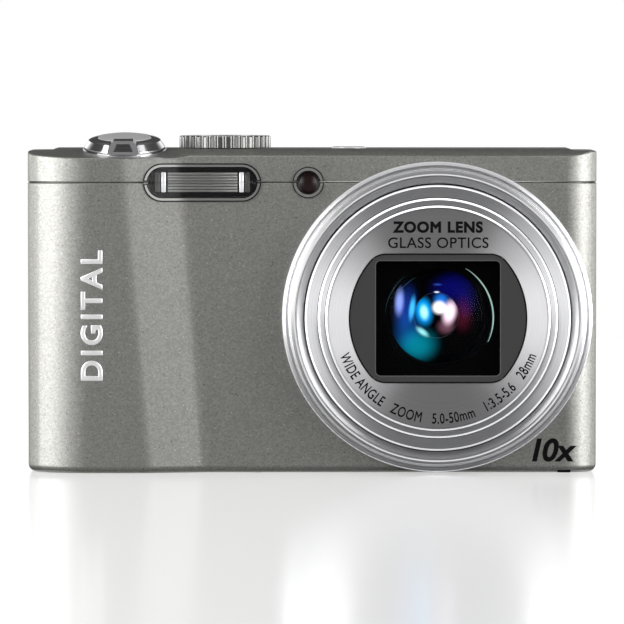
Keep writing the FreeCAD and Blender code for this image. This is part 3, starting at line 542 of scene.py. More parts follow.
# Raised letters hot-stamped with silver foil, giving off a little light as a painted highlight: brighter than
# the paint from every side.
SILVER_LETTER_PAINTED_HIGHLIGHT = Satin("Silver_Letter_Painted_Highlight", "#F2F2F2", roughness=0.34, lift=0.36)
# Screen-printed ink: flat black or flat white.
BLACK_INK = Ink("Black_Screen_Ink", "#0B0B0C")
WHITE_INK = Ink("White_Screen_Ink", "#E8E8E6")


# ---- making pieces --------------------------------------------------------------------------------
def place_piece(name: str, mesh: bpy.types.Mesh, finish: Finish, body: Body,
                *stands_for: str) -> bpy.types.Object:
    """Puts a finished mesh in the scene.

    Args:
        name: the piece's name.
        mesh: its mesh, already in the row frame.
        finish: what it is made of.
        body: the body that it moves with.
        *stands_for: the CAD nodes that it replaces.

    Returns:
        The new object.
    """
    mesh.materials.clear()
    mesh.materials.append(finish.build())
    piece = bpy.data.objects.new(name, mesh)
    bpy.context.scene.collection.objects.link(piece)
    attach(piece, body.value)
    if stands_for:
        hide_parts(*stands_for)
    LOG.info("%s: %d faces", name, len(mesh.polygons))
    return piece


def finish_mesh(work: bmesh.types.BMesh, name: str, sharp_deg: float = CURVE_DEG) -> bpy.types.Mesh:
    """Closes a bmesh's seams, turns its faces outwards, writes it to a mesh and frees it."""
    bmesh.ops.remove_doubles(work, verts=work.verts, dist=MERGE)
    bmesh.ops.recalc_face_normals(work, faces=work.faces)
    return shade_mesh(work, name, sharp_deg)


def shade_mesh(work: bmesh.types.BMesh, name: str, sharp_deg: float) -> bpy.types.Mesh:
    """Marks the edges that are sharper than an angle, writes the mesh and frees the bmesh."""
    for face in work.faces:
        face.smooth = True
    for edge in work.edges:
        edge.smooth = len(edge.link_faces) == 2 and edge.calc_face_angle(0.0) < math.radians(sharp_deg)
    mesh = bpy.data.meshes.new(name)
    work.to_mesh(mesh)
    work.free()
    if "custom_normal" in mesh.attributes:
        mesh.attributes.remove(mesh.attributes["custom_normal"])
    return mesh


def node_copy(node: str) -> bmesh.types.BMesh:
    """A copy of a CAD node's mesh with its loose triangles merged."""
    work = bmesh.new()
    work.from_mesh(frame["nodes"][node].data)
    bmesh.ops.remove_doubles(work, verts=work.verts, dist=NODE_MERGE)
    return work


def gather(work: bmesh.types.BMesh, mesh: bpy.types.Mesh) -> None:
    """Adds a mesh to a bmesh and removes it."""
    work.from_mesh(mesh)
    bpy.data.meshes.remove(mesh)


def smoothed(node: str, finish: Finish, sharp_deg: float = CURVE_DEG) -> None:
    """Shows a CAD node as a copy of itself that is smooth over its curves and crisp at its edges."""
    name = f"{node}_skin"
    piece = place_piece(name, shade_mesh(node_copy(node), name, sharp_deg), finish, Body.of_node(node), node)
    even = piece.modifiers.new("Even_Normals", "WEIGHTED_NORMAL")
    even.keep_sharp = True


def dress(finish: Finish, *nodes: str) -> None:
    """Gives CAD nodes their finish as they are."""
    for node in nodes:
        mesh = frame["nodes"][node].data
        mesh.materials.clear()
        mesh.materials.append(finish.build())
        LOG.info("%s: dressed as it is", node)


def spun(profile: list[tuple[float, float]], name: str) -> bpy.types.Mesh:
    """Turns a profile round the optical axis.

    Args:
        profile: (radius, y) points in millimetres, in order.
        name: the mesh's name.

    Returns:
        The turned mesh.
    """
    work = bmesh.new()
    points = [work.verts.new((LENS.x + r * MM, y * MM, LENS.z)) for r, y in profile]
    edges = [work.edges.new(pair) for pair in zip(points, points[1:])]
    bmesh.ops.spin(work, geom=points + edges, cent=tuple(LENS), axis=(0, 1, 0), angle=2 * math.pi,
                   steps=TURN_STEPS, use_merge=True)
    return finish_mesh(work, name)


def edge_line(node: str, name: str, width: float, finish: Finish, body: Body,
              keep: Callable[[Vector], bool] = lambda spot: True) -> None:
    """Draws a thin raised line round the edges of a CAD node's front face.

    Args:
        node: the CAD node.
        name: the new piece's name.
        width: the line's width in millimetres, measured inwards from the edge.
        finish: its finish.
        body: the body it rides on.
        keep: tells, for a point of the line, whether that part of it is wanted.
    """
    facing = -0.8                # a front face's normal points at least this far along Y
    proud, thick = 0.03, 0.05    # how far the line stands off the face, and how thick it is
    work = node_copy(node)
    work.normal_update()
    bmesh.ops.delete(work, geom=[f for f in work.faces if f.normal.y > facing], context="FACES")
    lines = bmesh.ops.inset_region(work, faces=list(work.faces), thickness=width * MM, use_boundary=True,
                                   use_even_offset=True)["faces"]
    wanted = {f for f in lines if keep(f.calc_center_median())}
    bmesh.ops.delete(work, geom=[f for f in work.faces if f not in wanted], context="FACES")
    bmesh.ops.translate(work, verts=work.verts, vec=(0.0, -proud * MM, 0.0))
    bmesh.ops.solidify(work, geom=list(work.faces), thickness=thick * MM)
    place_piece(name, finish_mesh(work, name), finish, body)


def letters(words: str, height: float, thick: float, bold: float = 0.0, slant: float = 0.0,
            spacing: float = 1.0) -> bpy.types.Mesh:
    """Makes words as a flat solid mesh, centred on the origin in X and Y, facing +Z.

    Args:
        words: what they say.
        height: height of a capital letter, in millimetres.
        thick: how thick the letters are, in millimetres.
        bold: how far each outline is pushed out, in millimetres.
        slant: shear to the right, as the tangent of its angle.
        spacing: the spaces between letters, with 1 for the usual.

    Returns:
        The mesh, in metres.
    """
    cap_share = 0.69             # a capital's height as a share of the built-in font's size
    first_depth = 0.05           # the letters start this thick, and are then scaled to size
    curve = bpy.data.curves.new("words", "FONT")
    curve.body = words
    curve.align_x = "CENTER"
    curve.align_y = "CENTER"
    curve.size = height * MM / cap_share
    curve.extrude = first_depth * MM
    curve.bevel_depth = bold * MM
    curve.bevel_resolution = 2
    curve.shear = slant
    curve.space_character = spacing
    curve.resolution_u = 6
    holder = bpy.data.objects.new("words", curve)
    bpy.context.scene.collection.objects.link(holder)
    bpy.context.view_layer.update()
    mesh = bpy.data.meshes.new_from_object(holder.evaluated_get(bpy.context.evaluated_depsgraph_get()))
    bpy.data.objects.remove(holder)
    bpy.data.curves.remove(curve)
    work = bmesh.new()
    gather(work, mesh)
    deep = 2 * max(v.co.z for v in work.verts)
    bmesh.ops.scale(work, verts=work.verts, vec=(1.0, 1.0, thick * MM / deep))
    return finish_mesh(work, "words", LETTER_DEG)


def lay_on_front(mesh: bpy.types.Mesh, x: float, y: float, z: float, turn: float = 0.0) -> bpy.types.Mesh:
    """Stands a flat mesh up to face forwards, turned anticlockwise as it is read."""
    mesh.transform(Matrix.Translation(Vector((x, y, z)) * MM) @ Matrix.Rotation(math.pi / 2, 4, "X")
                   @ Matrix.Rotation(turn, 4, "Z"))
    return mesh


def lay_on_back(mesh: bpy.types.Mesh, x: float, y: float, z: float) -> bpy.types.Mesh:
    """Stands a flat mesh up to be read from behind."""
    mesh.transform(Matrix.Translation(Vector((x, y, z)) * MM) @ Matrix.Rotation(math.pi, 4, "Z")
                   @ Matrix.Rotation(math.pi / 2, 4, "X"))
    return mesh


def block(work: bmesh.types.BMesh, centre: tuple[float, float, float], size: tuple[float, float, float],
          edge: float) -> None:
    """Adds a box with rounded edges to a bmesh, with all sizes in millimetres."""
    made = bmesh.ops.create_cube(work, size=1.0)
    bmesh.ops.scale(work, verts=made["verts"], vec=Vector(size) * MM)
    bmesh.ops.translate(work, verts=made["verts"], vec=Vector(centre) * MM)
    edges = list({e for v in made["verts"] for e in v.link_edges})
    bmesh.ops.bevel(work, geom=edges, offset=edge * MM, segments=2, profile=0.5, affect="EDGES", material=-1)


# ---- the sub-assemblies ---------------------------------------------------------------------------
@dataclass
class CaseShells:
    """The painted covers, the doors and the small trim that stays with them."""

    painted: tuple[str, ...] = ("front_cover", "top_cover", "rear_cover", "battery_door", "port_door")
    word: str = "DIGITAL"
    word_cap: float = 3.5
    word_thick: float = 0.35
    word_at: tuple[float, float, float] = (-38.1, -11.9, 27.4)
    figure: tuple[tuple[str, float], ...] = (("1", 38.85), ("0", 41.25), ("x", 44.0))
    figure_cap: float = 3.75
    figure_thick: float = 0.06
    figure_y: float = -CASE_BACK - 0.01
    figure_z: float = 3.75
    bold: float = 0.16
    bezel_line: float = 0.17     # width of the dark line round the flash's rim
    lamp_line: float = 0.13      # and round the focus lamp's
    foot_at: tuple[float, float, float] = (44.0, -9.15, 0.27)
    foot_size: tuple[float, float, float] = (2.3, 0.6, 0.5)
    foot_edge: float = 0.12

    def build(self) -> None:
        """Makes the covers and what is printed or raised on them."""
        for node in self.painted:
            smoothed(node, PAINT)
        self.raised_word()
        self.zoom_figure()
        self.foot()
        dress(STEEL, "case_screws", "steel_pins", "tripod_socket", "usb_connector")
        dress(CASE_BLACK, "door_latch")
        smoothed("flash_bezel", TRIM)
        smoothed("af_lamp_bezel", TRIM)
        smoothed("af_lamp_lens", LAMP_RED)
        edge_line("flash_bezel", "flash_bezel_outline", self.bezel_line, BLACK_INK, Body.CASE)
        edge_line("af_lamp_bezel", "af_lamp_bezel_outline", self.lamp_line, BLACK_INK, Body.CASE)

    def raised_word(self) -> None:
        """The raised silver word that runs up the grip."""
        mesh = letters(self.word, self.word_cap, self.word_thick, bold=self.bold, spacing=1.25)
        lay_on_front(mesh, *self.word_at, turn=math.pi / 2)
        # The letters give off light: their brightness is partly a painted highlight.
        place_piece("grip_word", mesh, SILVER_LETTER_PAINTED_HIGHLIGHT, Body.CASE)

    def zoom_figure(self) -> None:
        """The zoom ratio printed at the lower corner of the front, one piece to a glyph."""
        for index, (glyph, x) in enumerate(self.figure):
            mesh = letters(glyph, self.figure_cap, self.figure_thick, bold=self.bold, slant=0.22)
            lay_on_front(mesh, x, self.figure_y, self.figure_z)
            place_piece(f"zoom_figure_{index}", mesh, BLACK_INK, Body.CASE)

    def foot(self) -> None:
        """The small dark pad under the lens end."""
        work = bmesh.new()
        block(work, self.foot_at, self.foot_size, self.foot_edge)
        place_piece("foot_pad", finish_mesh(work, "foot_pad"), LENS_BLACK, Body.CASE)


@dataclass
class LensRings:
    """The fixed rings, the barrels, the name plate and the barrier frame."""

    plate_y: float = corners("name_plate")[0].y - 0.005
    upper_words: str = "ZOOM LENS"
    upper_cap: float = 1.75
    upper_z: float = 43.0
    lower_words: str = "GLASS OPTICS"
    lower_cap: float = 1.8
    lower_z: float = 40.3
    arc_words: str = "WIDE ANGLE   ZOOM   5.0-50mm   1:3.5-5.6   28mm"
    arc_cap: float = 1.75
    arc_radius: float = 17.45
    arc_span_deg: float = 139.0
    line_root: tuple[float, float] = (-0.03, 0.4)    # how far a bright line's foot lies inside its ring
    bezel_lines: tuple[tuple[str, tuple[float, float], tuple[float, float]], ...] = (
        ("bezel_line_outer", (27.0, -11.62), (26.88, -11.90)),
        ("bezel_line_middle", (25.86, -13.36), (25.60, -13.47)),
        ("bezel_line_inner", (24.97, -15.36), (24.72, -15.36)),
    )
    # where each barrel's bright cut starts and ends, outwards and backwards from the barrel's front corner
    barrel_lines: tuple[tuple[str, Body, tuple[float, float], tuple[float, float]], ...] = (
        ("barrel_large", Body.LARGE, (0.01, 0.32), (-0.32, -0.01)),
        ("barrel_middle", Body.MIDDLE, (0.01, 0.32), (-0.32, -0.01)),
        ("barrel_front", Body.FRONT, (0.02, 0.32), (-0.295, 0.001)),
    )
    outline: float = 0.2         # width of the dark line round the barrier frame
    window_line: float = 0.13    # and of the grey one round its window, a painted highlight
    rim_x: float = 11.3          # the barrier frame's rim lies past these distances from the axis
    rim_z: float = 10.5

    def build(self) -> None:
        """Makes the rings and the printing on the name plate."""
        smoothed("lens_bezel_ring", BRIGHT_RING)
        smoothed("inner_trim_ring", FUNNEL)
        for node in ("barrel_large", "barrel_middle", "barrel_front"):
            smoothed(node, BARREL)
        smoothed("name_plate", PLATE)
        smoothed("barrier_frame", FRAME_BLACK)
        for row in ("upper", "lower"):
            dress(LENS_BLACK, f"blade_{row}_inner", f"blade_{row}_outer")
        dress(LENS_BLACK, "lens_housing", "zoom_lens_carrier", "aperture_ring", "focus_carrier")
        self.bright_lines()
        edge_line("barrier_frame", "frame_outline", self.outline, BLACK_INK, Body.FRONT, self.near_rim)
        # The grey line round the window is a painted highlight on its edge.
        edge_line("barrier_frame", "window_edge_highlight", self.window_line, FRAME_EDGE_PAINTED_HIGHLIGHT, Body.FRONT,
                  lambda spot: not self.near_rim(spot))
        self.plate_words()
        self.arc()

    def near_rim(self, spot: Vector) -> bool:
        """Whether a point of the barrier frame lies at its rim, and not at its window."""
        return abs(spot.x - LENS.x) > self.rim_x * MM or abs(spot.z - LENS.z) > self.rim_z * MM

    def bright_lines(self) -> None:
        """The diamond-cut edges that draw white lines round the rings and the barrels, partly as painted
        highlights that give off light.
        """
        for name, outer, inner in self.bezel_lines:
            self.bright_line(name, outer, inner, Body.CASE)
        for node, body, start, end in self.barrel_lines:
            radius, front = corners(node)[1].x - LENS.x / MM, corners(node)[0].y
            outer, inner = (radius + start[0], front + start[1]), (radius + end[0], front + end[1])
            self.bright_line(f"{body.value}_line", outer, inner, body)

    def bright_line(self, name: str, outer: tuple[float, float], inner: tuple[float, float],
                    body: Body) -> None:
        """Makes a bright line from its outer and inner (radius, y) points, with its foot inside the ring."""
        root = (outer[0] + self.line_root[0], inner[1] + self.line_root[1])
        # Its finish gives off light: the white line is partly a painted highlight.
        place_piece(name, spun([outer, inner, root, outer], name), BRIGHT_CUT_PAINTED_HIGHLIGHT, body)

    def plate_words(self) -> None:
        """The two short lines above the window."""
        mesh = letters(self.upper_words, self.upper_cap, INK_THICK, bold=0.12, spacing=1.12)
        lay_on_front(mesh, LENS.x / MM, self.plate_y, self.upper_z)
        place_piece("plate_words_upper", mesh, BLACK_INK, Body.FRONT)
        mesh = letters(self.lower_words, self.lower_cap, INK_THICK, bold=0.02, spacing=1.05)
        lay_on_front(mesh, LENS.x / MM, self.plate_y, self.lower_z)
        place_piece("plate_words_lower", mesh, BLACK_INK, Body.FRONT)

    def arc(self) -> None:
        """The optical figures, bent to follow the lower edge of the name plate."""
        work = bmesh.new()
        gather(work, letters(self.arc_words, self.arc_cap, INK_THICK, bold=0.035, spacing=1.06))
        half = max(abs(v.co.x) for v in work.verts)
        for vert in work.verts:
            angle = math.radians(-90 + self.arc_span_deg / 2 * vert.co.x / half)
            reach = self.arc_radius * MM - vert.co.y
            vert.co.x, vert.co.y = reach * math.cos(angle), reach * math.sin(angle)
        mesh = finish_mesh(work, "plate_figures", LETTER_DEG)
        lay_on_front(mesh, LENS.x / MM, self.plate_y, LENS.z / MM)
        place_piece("plate_figures", mesh, BLACK_INK, Body.FRONT)


@dataclass(frozen=True)
class Element:
    """A piece of glass with a domed front and a flat back, in millimetres."""

    radius: float
    front: float                 # y of the middle of its front face
    curve: float                 # the radius that its front face is ground to
    back: float                  # y of its back face
    steps: int = 16

    def profile(self) -> list[tuple[float, float]]:
        """Its (radius, y) points, from the middle of the front over the rim to the middle of the back."""
        reaches = [self.radius * i / self.steps for i in range(self.steps + 1)]
        face = [(r, self.front + self.curve - math.sqrt(self.curve ** 2 - r ** 2)) for r in reaches]
        return face + [(self.radius, self.back), (0.0, self.back)]


@dataclass(frozen=True)
class GlintArc:
    """A thin arc of painted reflection, given off as light, round the front element.

    It runs from start to stop, in degrees from the right, counted upwards, and tapers to both ends.
    """

    name: str
    radius: float                # from the optical axis to the arc's middle line
    start: float
    stop: float
    half: float                  # half its width in the middle
    finish: Finish


@dataclass
class LensGlass:
    """The front element, its stepped black holder, the coated groups that show through it and thin arcs of
    painted reflection.
    """

    front: Element = Element(10.2, -14.0, 26.0, -11.1)
    zoom: Element = Element(8.3, -9.2, 11.0, -5.9)
    iris: Element = Element(3.9, -5.25, 60.0, -4.9, steps=10)
    iris_rim: tuple[tuple[float, float], ...] = ((4.08, -5.27), (4.04, -5.36), (3.93, -5.36), (3.88, -5.27))
    holder_deg: float = 20.0     # the holder's steps stay crisp past this
    arcs_y: float = -12.1
    arcs: tuple[GlintArc, ...] = (
        GlintArc("front_glint_arc", 9.78, -26.0, 60.0, 0.2, PALE_GLINT),
        GlintArc("front_glint_arc_low", 9.95, -55.0, -8.0, 0.09, PALE_GLINT),
        GlintArc("front_glint_arc_left", 9.1, 128.0, 176.0, 0.05, TEAL_GLINT),
        GlintArc("front_glint_arc_upper", 7.9, 118.0, 152.0, 0.05, TEAL_GLINT),
        GlintArc("front_glint_arc_right", 9.55, -30.0, 30.0, 0.05, TEAL_GLINT),
    )

    def build(self) -> None:
        """Makes the glass and the holder round it."""
        smoothed("front_lens_holder", LENS_BLACK, self.holder_deg)
        mesh = spun(self.front.profile(), "front_lens_fine")
        place_piece("front_lens_fine", mesh, FRONT_GLASS, Body.FRONT, "front_lens")
        mesh = spun(self.zoom.profile(), "zoom_lens_fine")
        place_piece("zoom_lens_fine", mesh, INNER_GLASS, Body.MIDDLE, "zoom_lenses")
        place_piece("aperture_glass", spun(self.iris.profile(), "aperture_glass"), DEEP_GLASS, Body.MIDDLE)
        dress(FOCUS_GLASS, "focus_lens")
        place_piece("aperture_rim", spun(list(self.iris_rim), "aperture_rim"), KEY_DARK, Body.MIDDLE)
        for arc in self.arcs:
            self.glint_arc(arc)

    def glint_arc(self, arc: GlintArc) -> None:
        """Spins a small round section along the arc, and tapers it."""
        steps, sides, thinnest, taper_power = 40, 8, 0.1, 0.7
        depth = Vector((0.0, self.arcs_y * MM, 0.0))
        start, sweep = math.radians(arc.start), math.radians(arc.stop - arc.start)
        work = bmesh.new()
        section = bmesh.ops.create_circle(work, segments=sides, radius=arc.half * MM, cap_ends=True)["verts"]
        bmesh.ops.rotate(work, verts=section, cent=(0.0, 0.0, 0.0), matrix=Matrix.Rotation(-start, 3, "Y"))
        spoke = Vector((math.cos(start), 0.0, math.sin(start)))
        bmesh.ops.translate(work, verts=section, vec=LENS + spoke * arc.radius * MM + depth)
        bmesh.ops.spin(work, geom=list(work.faces), cent=tuple(LENS), axis=(0, -1, 0), angle=sweep,
                       steps=steps)
        for vert in work.verts:
            spoke = Vector((vert.co.x - LENS.x, 0.0, vert.co.z - LENS.z))
            along = (math.atan2(spoke.z, spoke.x) - start) / sweep
            taper = max(thinnest, math.sin(math.pi * min(1.0, max(0.0, along)))) ** taper_power
            middle = LENS + spoke.normalized() * arc.radius * MM + depth
            vert.co = middle + (vert.co - middle) * taper
        # The arcs give off light: they are painted reflections.
        place_piece(arc.name, finish_mesh(work, arc.name, 60.0), arc.finish, Body.FRONT)


@dataclass
class FlashUnit:
    """The flash behind its window: ribbed reflector, end caps made bright partly by a painted highlight, and
    tube.
    """

    x: float = middle("flash_bezel").x
    z: float = middle("flash_bezel").z
    trough_y: float = -6.0
    trough_size: tuple[float, float, float] = (18.4, 3.2, 4.7)
    trough_edge: float = 0.2
    rib_half: float = 6.1        # half a rib's length
    rib_y: float = -7.6
    rib_deep: float = 0.5
    rib_share: float = 0.94      # a rib's height as a share of the ribs' spacing
    rib_edge: float = 0.1
    ribs: int = 7
    half_height: float = 1.75
    cap_gap: float = 0.7         # from the ribs' ends to the middle of a cap
    cap_y: float = -7.7
    cap_size: tuple[float, float, float] = (0.8, 0.7, 3.5)
    cap_edge: float = 0.12
    cheek_gap: float = 1.75
    cheek_y: float = -7.5
    cheek_size: tuple[float, float, float] = (0.9, 0.6, 3.5)
    cheek_edge: float = 0.15

    def build(self) -> None:
        """Makes the window, the black trough, the ribbed panel and what stands at its ends."""
        smoothed("flash_window", FLASH_CLEAR)
        dress(FLASH_CLEAR, "flash_tube")
        work = bmesh.new()
        block(work, (self.x, self.trough_y, self.z), self.trough_size, self.trough_edge)
        mesh = finish_mesh(work, "flash_trough")
        place_piece("flash_trough", mesh, LENS_BLACK, Body.CASE, "flash_reflector")
        self.panel()
        # The end caps give off light: their white is partly a painted highlight.
        self.pair("flash_end_caps", self.cap_gap, self.cap_y, self.cap_size, self.cap_edge, BRIGHT_CUT_PAINTED_HIGHLIGHT)
        self.pair("flash_cheeks", self.cheek_gap, self.cheek_y, self.cheek_size, self.cheek_edge, KEY_GREY)

    def panel(self) -> None:
        """The satin reflector with horizontal ribs."""
        work = bmesh.new()
        pitch = 2 * self.half_height / self.ribs
        for row in range(self.ribs):
            height = self.z - self.half_height + pitch * (row + 0.5)
            size = (2 * self.rib_half, self.rib_deep, pitch * self.rib_share)
            block(work, (self.x, self.rib_y, height), size, self.rib_edge)
        place_piece("flash_panel", finish_mesh(work, "flash_panel"), RIB_METAL, Body.CASE)

    def pair(self, name: str, gap: float, y: float, size: tuple[float, float, float], edge: float,
             finish: Finish) -> None:
        """Makes a matching block past each end of the ribs.

        Args:
            name: the piece's name.
            gap: from the ribs' ends to the middle of a block.
            y: how deep the blocks' middles lie.
            size: each block's size.
            edge: the rounding of its edges.
            finish: its finish.
        """
        work = bmesh.new()
        for side in (-1, 1):
            block(work, (self.x + side * (self.rib_half + gap), y, self.z), size, edge)
        place_piece(name, finish_mesh(work, name), finish, Body.CASE)


@dataclass
class TopControls:
    """Shutter button, zoom lever, mode dial and power button."""

    pivot_x: float = -32.8
    pivot_y: float = -4.2
    lean_y: float = -2.0         # where the deck starts to lean forward
    deck_z: float = 56.5
    tab_reach: float = 7.5       # from the lever's axis to the front of its tab
    ribs: int = 5
    rib_low: float = 1.2         # height of the lowest rib above the deck
    rib_pitch: float = 0.27
    rib_width: float = 3.3       # width of the lowest rib
    rib_narrowing: float = 0.22  # how much narrower each next one is
    rib_proud: float = 0.08
    rib_deep: float = 0.22
    rib_tall: float = 0.2
    rib_edge: float = 0.05
    dome_deg: float = 24.0       # the domed button and lever stay crisp past this
    dial_x: float = middle("mode_dial").x
    dial_y: float = middle("mode_dial").y
    dial_face_z: float = corners("mode_dial")[1].z - 0.115    # its face is sunk inside the rim
    mark_radius: float = 5.1
    mark_thick: float = 0.03
    mark_cap: float = 1.3
    long_mark_cap: float = 1.05  # for a mark of three letters or more
    dial_words: tuple[str, ...] = ("AUTO", "P", "A", "S", "M", "1", "2", "SCN")

    def build(self) -> None:
        """Makes the controls and their marks."""
        smoothed("shutter_button", BUTTON_METAL, self.dome_deg)
        smoothed("zoom_lever", CHROME, self.dome_deg)
        smoothed("shutter_collar", CHROME)
        smoothed("mode_dial", DIAL_METAL)
        smoothed("power_button", BUTTON_METAL)
        self.tab_ribs()
        self.dial_marks()

    def on_lever(self) -> Matrix:
        """Turns (right, out of the tab, up the axis) in the lever's own directions to the row frame."""
        pivot_z = self.deck_z - (self.lean_y - self.pivot_y) * math.tan(DECK_LEAN)
        out = Vector((0, -math.cos(DECK_LEAN), -math.sin(DECK_LEAN)))
        up = Vector((0, -math.sin(DECK_LEAN), math.cos(DECK_LEAN)))
        turn = Matrix((Vector((1, 0, 0)), out, up)).transposed().to_4x4()
        return Matrix.Translation(Vector((self.pivot_x, self.pivot_y, pivot_z)) * MM) @ turn

    def tab_ribs(self) -> None:
        """The dark ribbed inset on the front of the lever's tab."""
        work = bmesh.new()
        for row in range(self.ribs):
            centre = (0, self.tab_reach + self.rib_proud, self.rib_low + self.rib_pitch * row)
            width = self.rib_width - self.rib_narrowing * row
            block(work, centre, (width, self.rib_deep, self.rib_tall), self.rib_edge)
        mesh = finish_mesh(work, "lever_ribs")
        mesh.transform(self.on_lever())
        place_piece("lever_ribs", mesh, KEY_DARK, Body.ZOOM)

    def dial_marks(self) -> None:
        """The printed marks round the top of the dial, all readable from outside it."""
        work = bmesh.new()
        for index, words in enumerate(self.dial_words):
            angle = math.radians(90 - 360 * index / len(self.dial_words))
            spot = Vector((self.dial_x + self.mark_radius * math.cos(angle),
                           self.dial_y + self.mark_radius * math.sin(angle), self.dial_face_z))
            cap = self.mark_cap if len(words) < 3 else self.long_mark_cap
            mesh = letters(words, cap, self.mark_thick, bold=0.03)
            mesh.transform(Matrix.Translation(spot * MM) @ Matrix.Rotation(angle - math.pi / 2, 4, "Z"))
            gather(work, mesh)
        place_piece("dial_marks", finish_mesh(work, "dial_marks", LETTER_DEG), WHITE_INK, Body.DIAL)


@dataclass
class RearPanel:
    """The screen, the keys and the legends on the back."""

    keys: tuple[str, ...] = ("menu_button", "function_button", "playback_button", "delete_button")
    legend_y: float = CASE_BACK + 0.01
    legend_cap: float = 1.15
    legends: tuple[tuple[str, str, float, float], ...] = (    # each one's key, and its place from the key
        ("MENU", "menu_button", 0.0, 4.2), ("Fn", "function_button", 0.0, 4.2),
        ("PLAY", "playback_button", 0.0, -4.2), ("DEL", "delete_button", 0.0, -4.2),
        ("REC", "record_button", -4.4, 0.0))
    pad_x: float = middle("ok_button").x
    pad_z: float = middle("ok_button").z
    pad_y: float = corners("direction_pad")[1].y + 0.005
    pad_cap: float = 1.1
    ok_y: float = corners("ok_button")[1].y + 0.005
    ok_cap: float = 1.9
    mark_reach: float = 6.6      # from the pad's middle to its marks
    pad_marks: tuple[tuple[str, int, int], ...] = (("DISP", 0, 1), ("+", 1, 0), ("T", 0, -1), ("F", -1, 0))
    dots_at: tuple[float, float, float] = (-46.0, 9.72, 43.2)
    dot_rows: int = 3
    dot_columns: int = 5
    dot_radius: float = 0.42
    dot_height: float = 0.75     # a dot's height as a share of its radius
    dot_pitch_x: float = 2.0
    dot_pitch_z: float = 1.7

    def build(self) -> None:
        """Makes the back's pieces."""
        smoothed("screen_window", SCREEN)
        for node in self.keys:
            smoothed(node, KEY_GREY)
        smoothed("record_button", RECORD_RED)
        smoothed("direction_pad", KEY_GREY)
        smoothed("ok_button", BUTTON_METAL)
        self.print_legends()
        self.thumb_rest()

    def print_legends(self) -> None:
        """The white words beside the keys and the marks on the pad."""
        work = bmesh.new()
        for words, key, x, z in self.legends:
            spot = middle(key) + Vector((x, 0.0, z))
            mesh = letters(words, self.legend_cap, INK_THICK, bold=0.02)
            gather(work, lay_on_back(mesh, spot.x, self.legend_y, spot.z))
        place_piece("key_legends", finish_mesh(work, "key_legends", LETTER_DEG), WHITE_INK, Body.CASE)
        mesh = letters("OK", self.ok_cap, INK_THICK, bold=0.04)
        lay_on_back(mesh, self.pad_x, self.ok_y, self.pad_z)
        place_piece("ok_legend", mesh, BLACK_INK, Body.OK)
        work = bmesh.new()
        for words, right, up in self.pad_marks:
            x, z = self.pad_x - self.mark_reach * right, self.pad_z + self.mark_reach * up
            mesh = letters(words, self.pad_cap, INK_THICK, bold=0.02)
            gather(work, lay_on_back(mesh, x, self.pad_y, z))
        place_piece("pad_legends", finish_mesh(work, "pad_legends", LETTER_DEG), WHITE_INK, Body.PAD)

    def thumb_rest(self) -> None:
        """The field of small raised dots under the thumb, every other row moved half a step."""
        work = bmesh.new()
        left, y, low = self.dots_at
        for row in range(self.dot_rows):
            for column in range(self.dot_columns):
                x = left + self.dot_pitch_x * (column + 0.5 * (row % 2))
                made = bmesh.ops.create_uvsphere(work, u_segments=12, v_segments=8,
                                                 radius=self.dot_radius * MM)
                bmesh.ops.scale(work, verts=made["verts"], vec=(1, self.dot_height, 1))
                bmesh.ops.translate(work, verts=made["verts"],
                                    vec=Vector((x, y, low + self.dot_pitch_z * row)) * MM)
        place_piece("thumb_dots", finish_mesh(work, "thumb_dots", LETTER_DEG), PAINT, Body.CASE)


@dataclass
class Inside:
    """What shows only when a door is open or the lens is out, and what never shows."""

    def build(self) -> None:
        """Gives the inner nodes their finishes."""
        dress(CASE_BLACK, "battery_holder", "card_slot", "screen_panel", "memory_card", "speaker")
        dress(LABEL_BLUE, "battery", "flash_capacitor")
        dress(BRASS, "battery_contacts")
        dress(BOARD, "main_board", "key_board", "image_sensor")
        dress(STEEL, "zoom_motor")


@dataclass(frozen=True)
class Panel:
    """A bright part of the room: its brightness, and per axis where it starts and where it is full."""

    gain: float
    ramps: tuple[tuple[str, float, float], ...]


@dataclass(frozen=True)
class SoftBox:
    """A soft box: its name, its place and its width and height in metres, and its power in watts."""

    name: str
    place: tuple[float, float, float]
    size: tuple[float, float]
    watts: float
    aim: tuple[float, float, float] = (0.0, 0.0, 0.03)


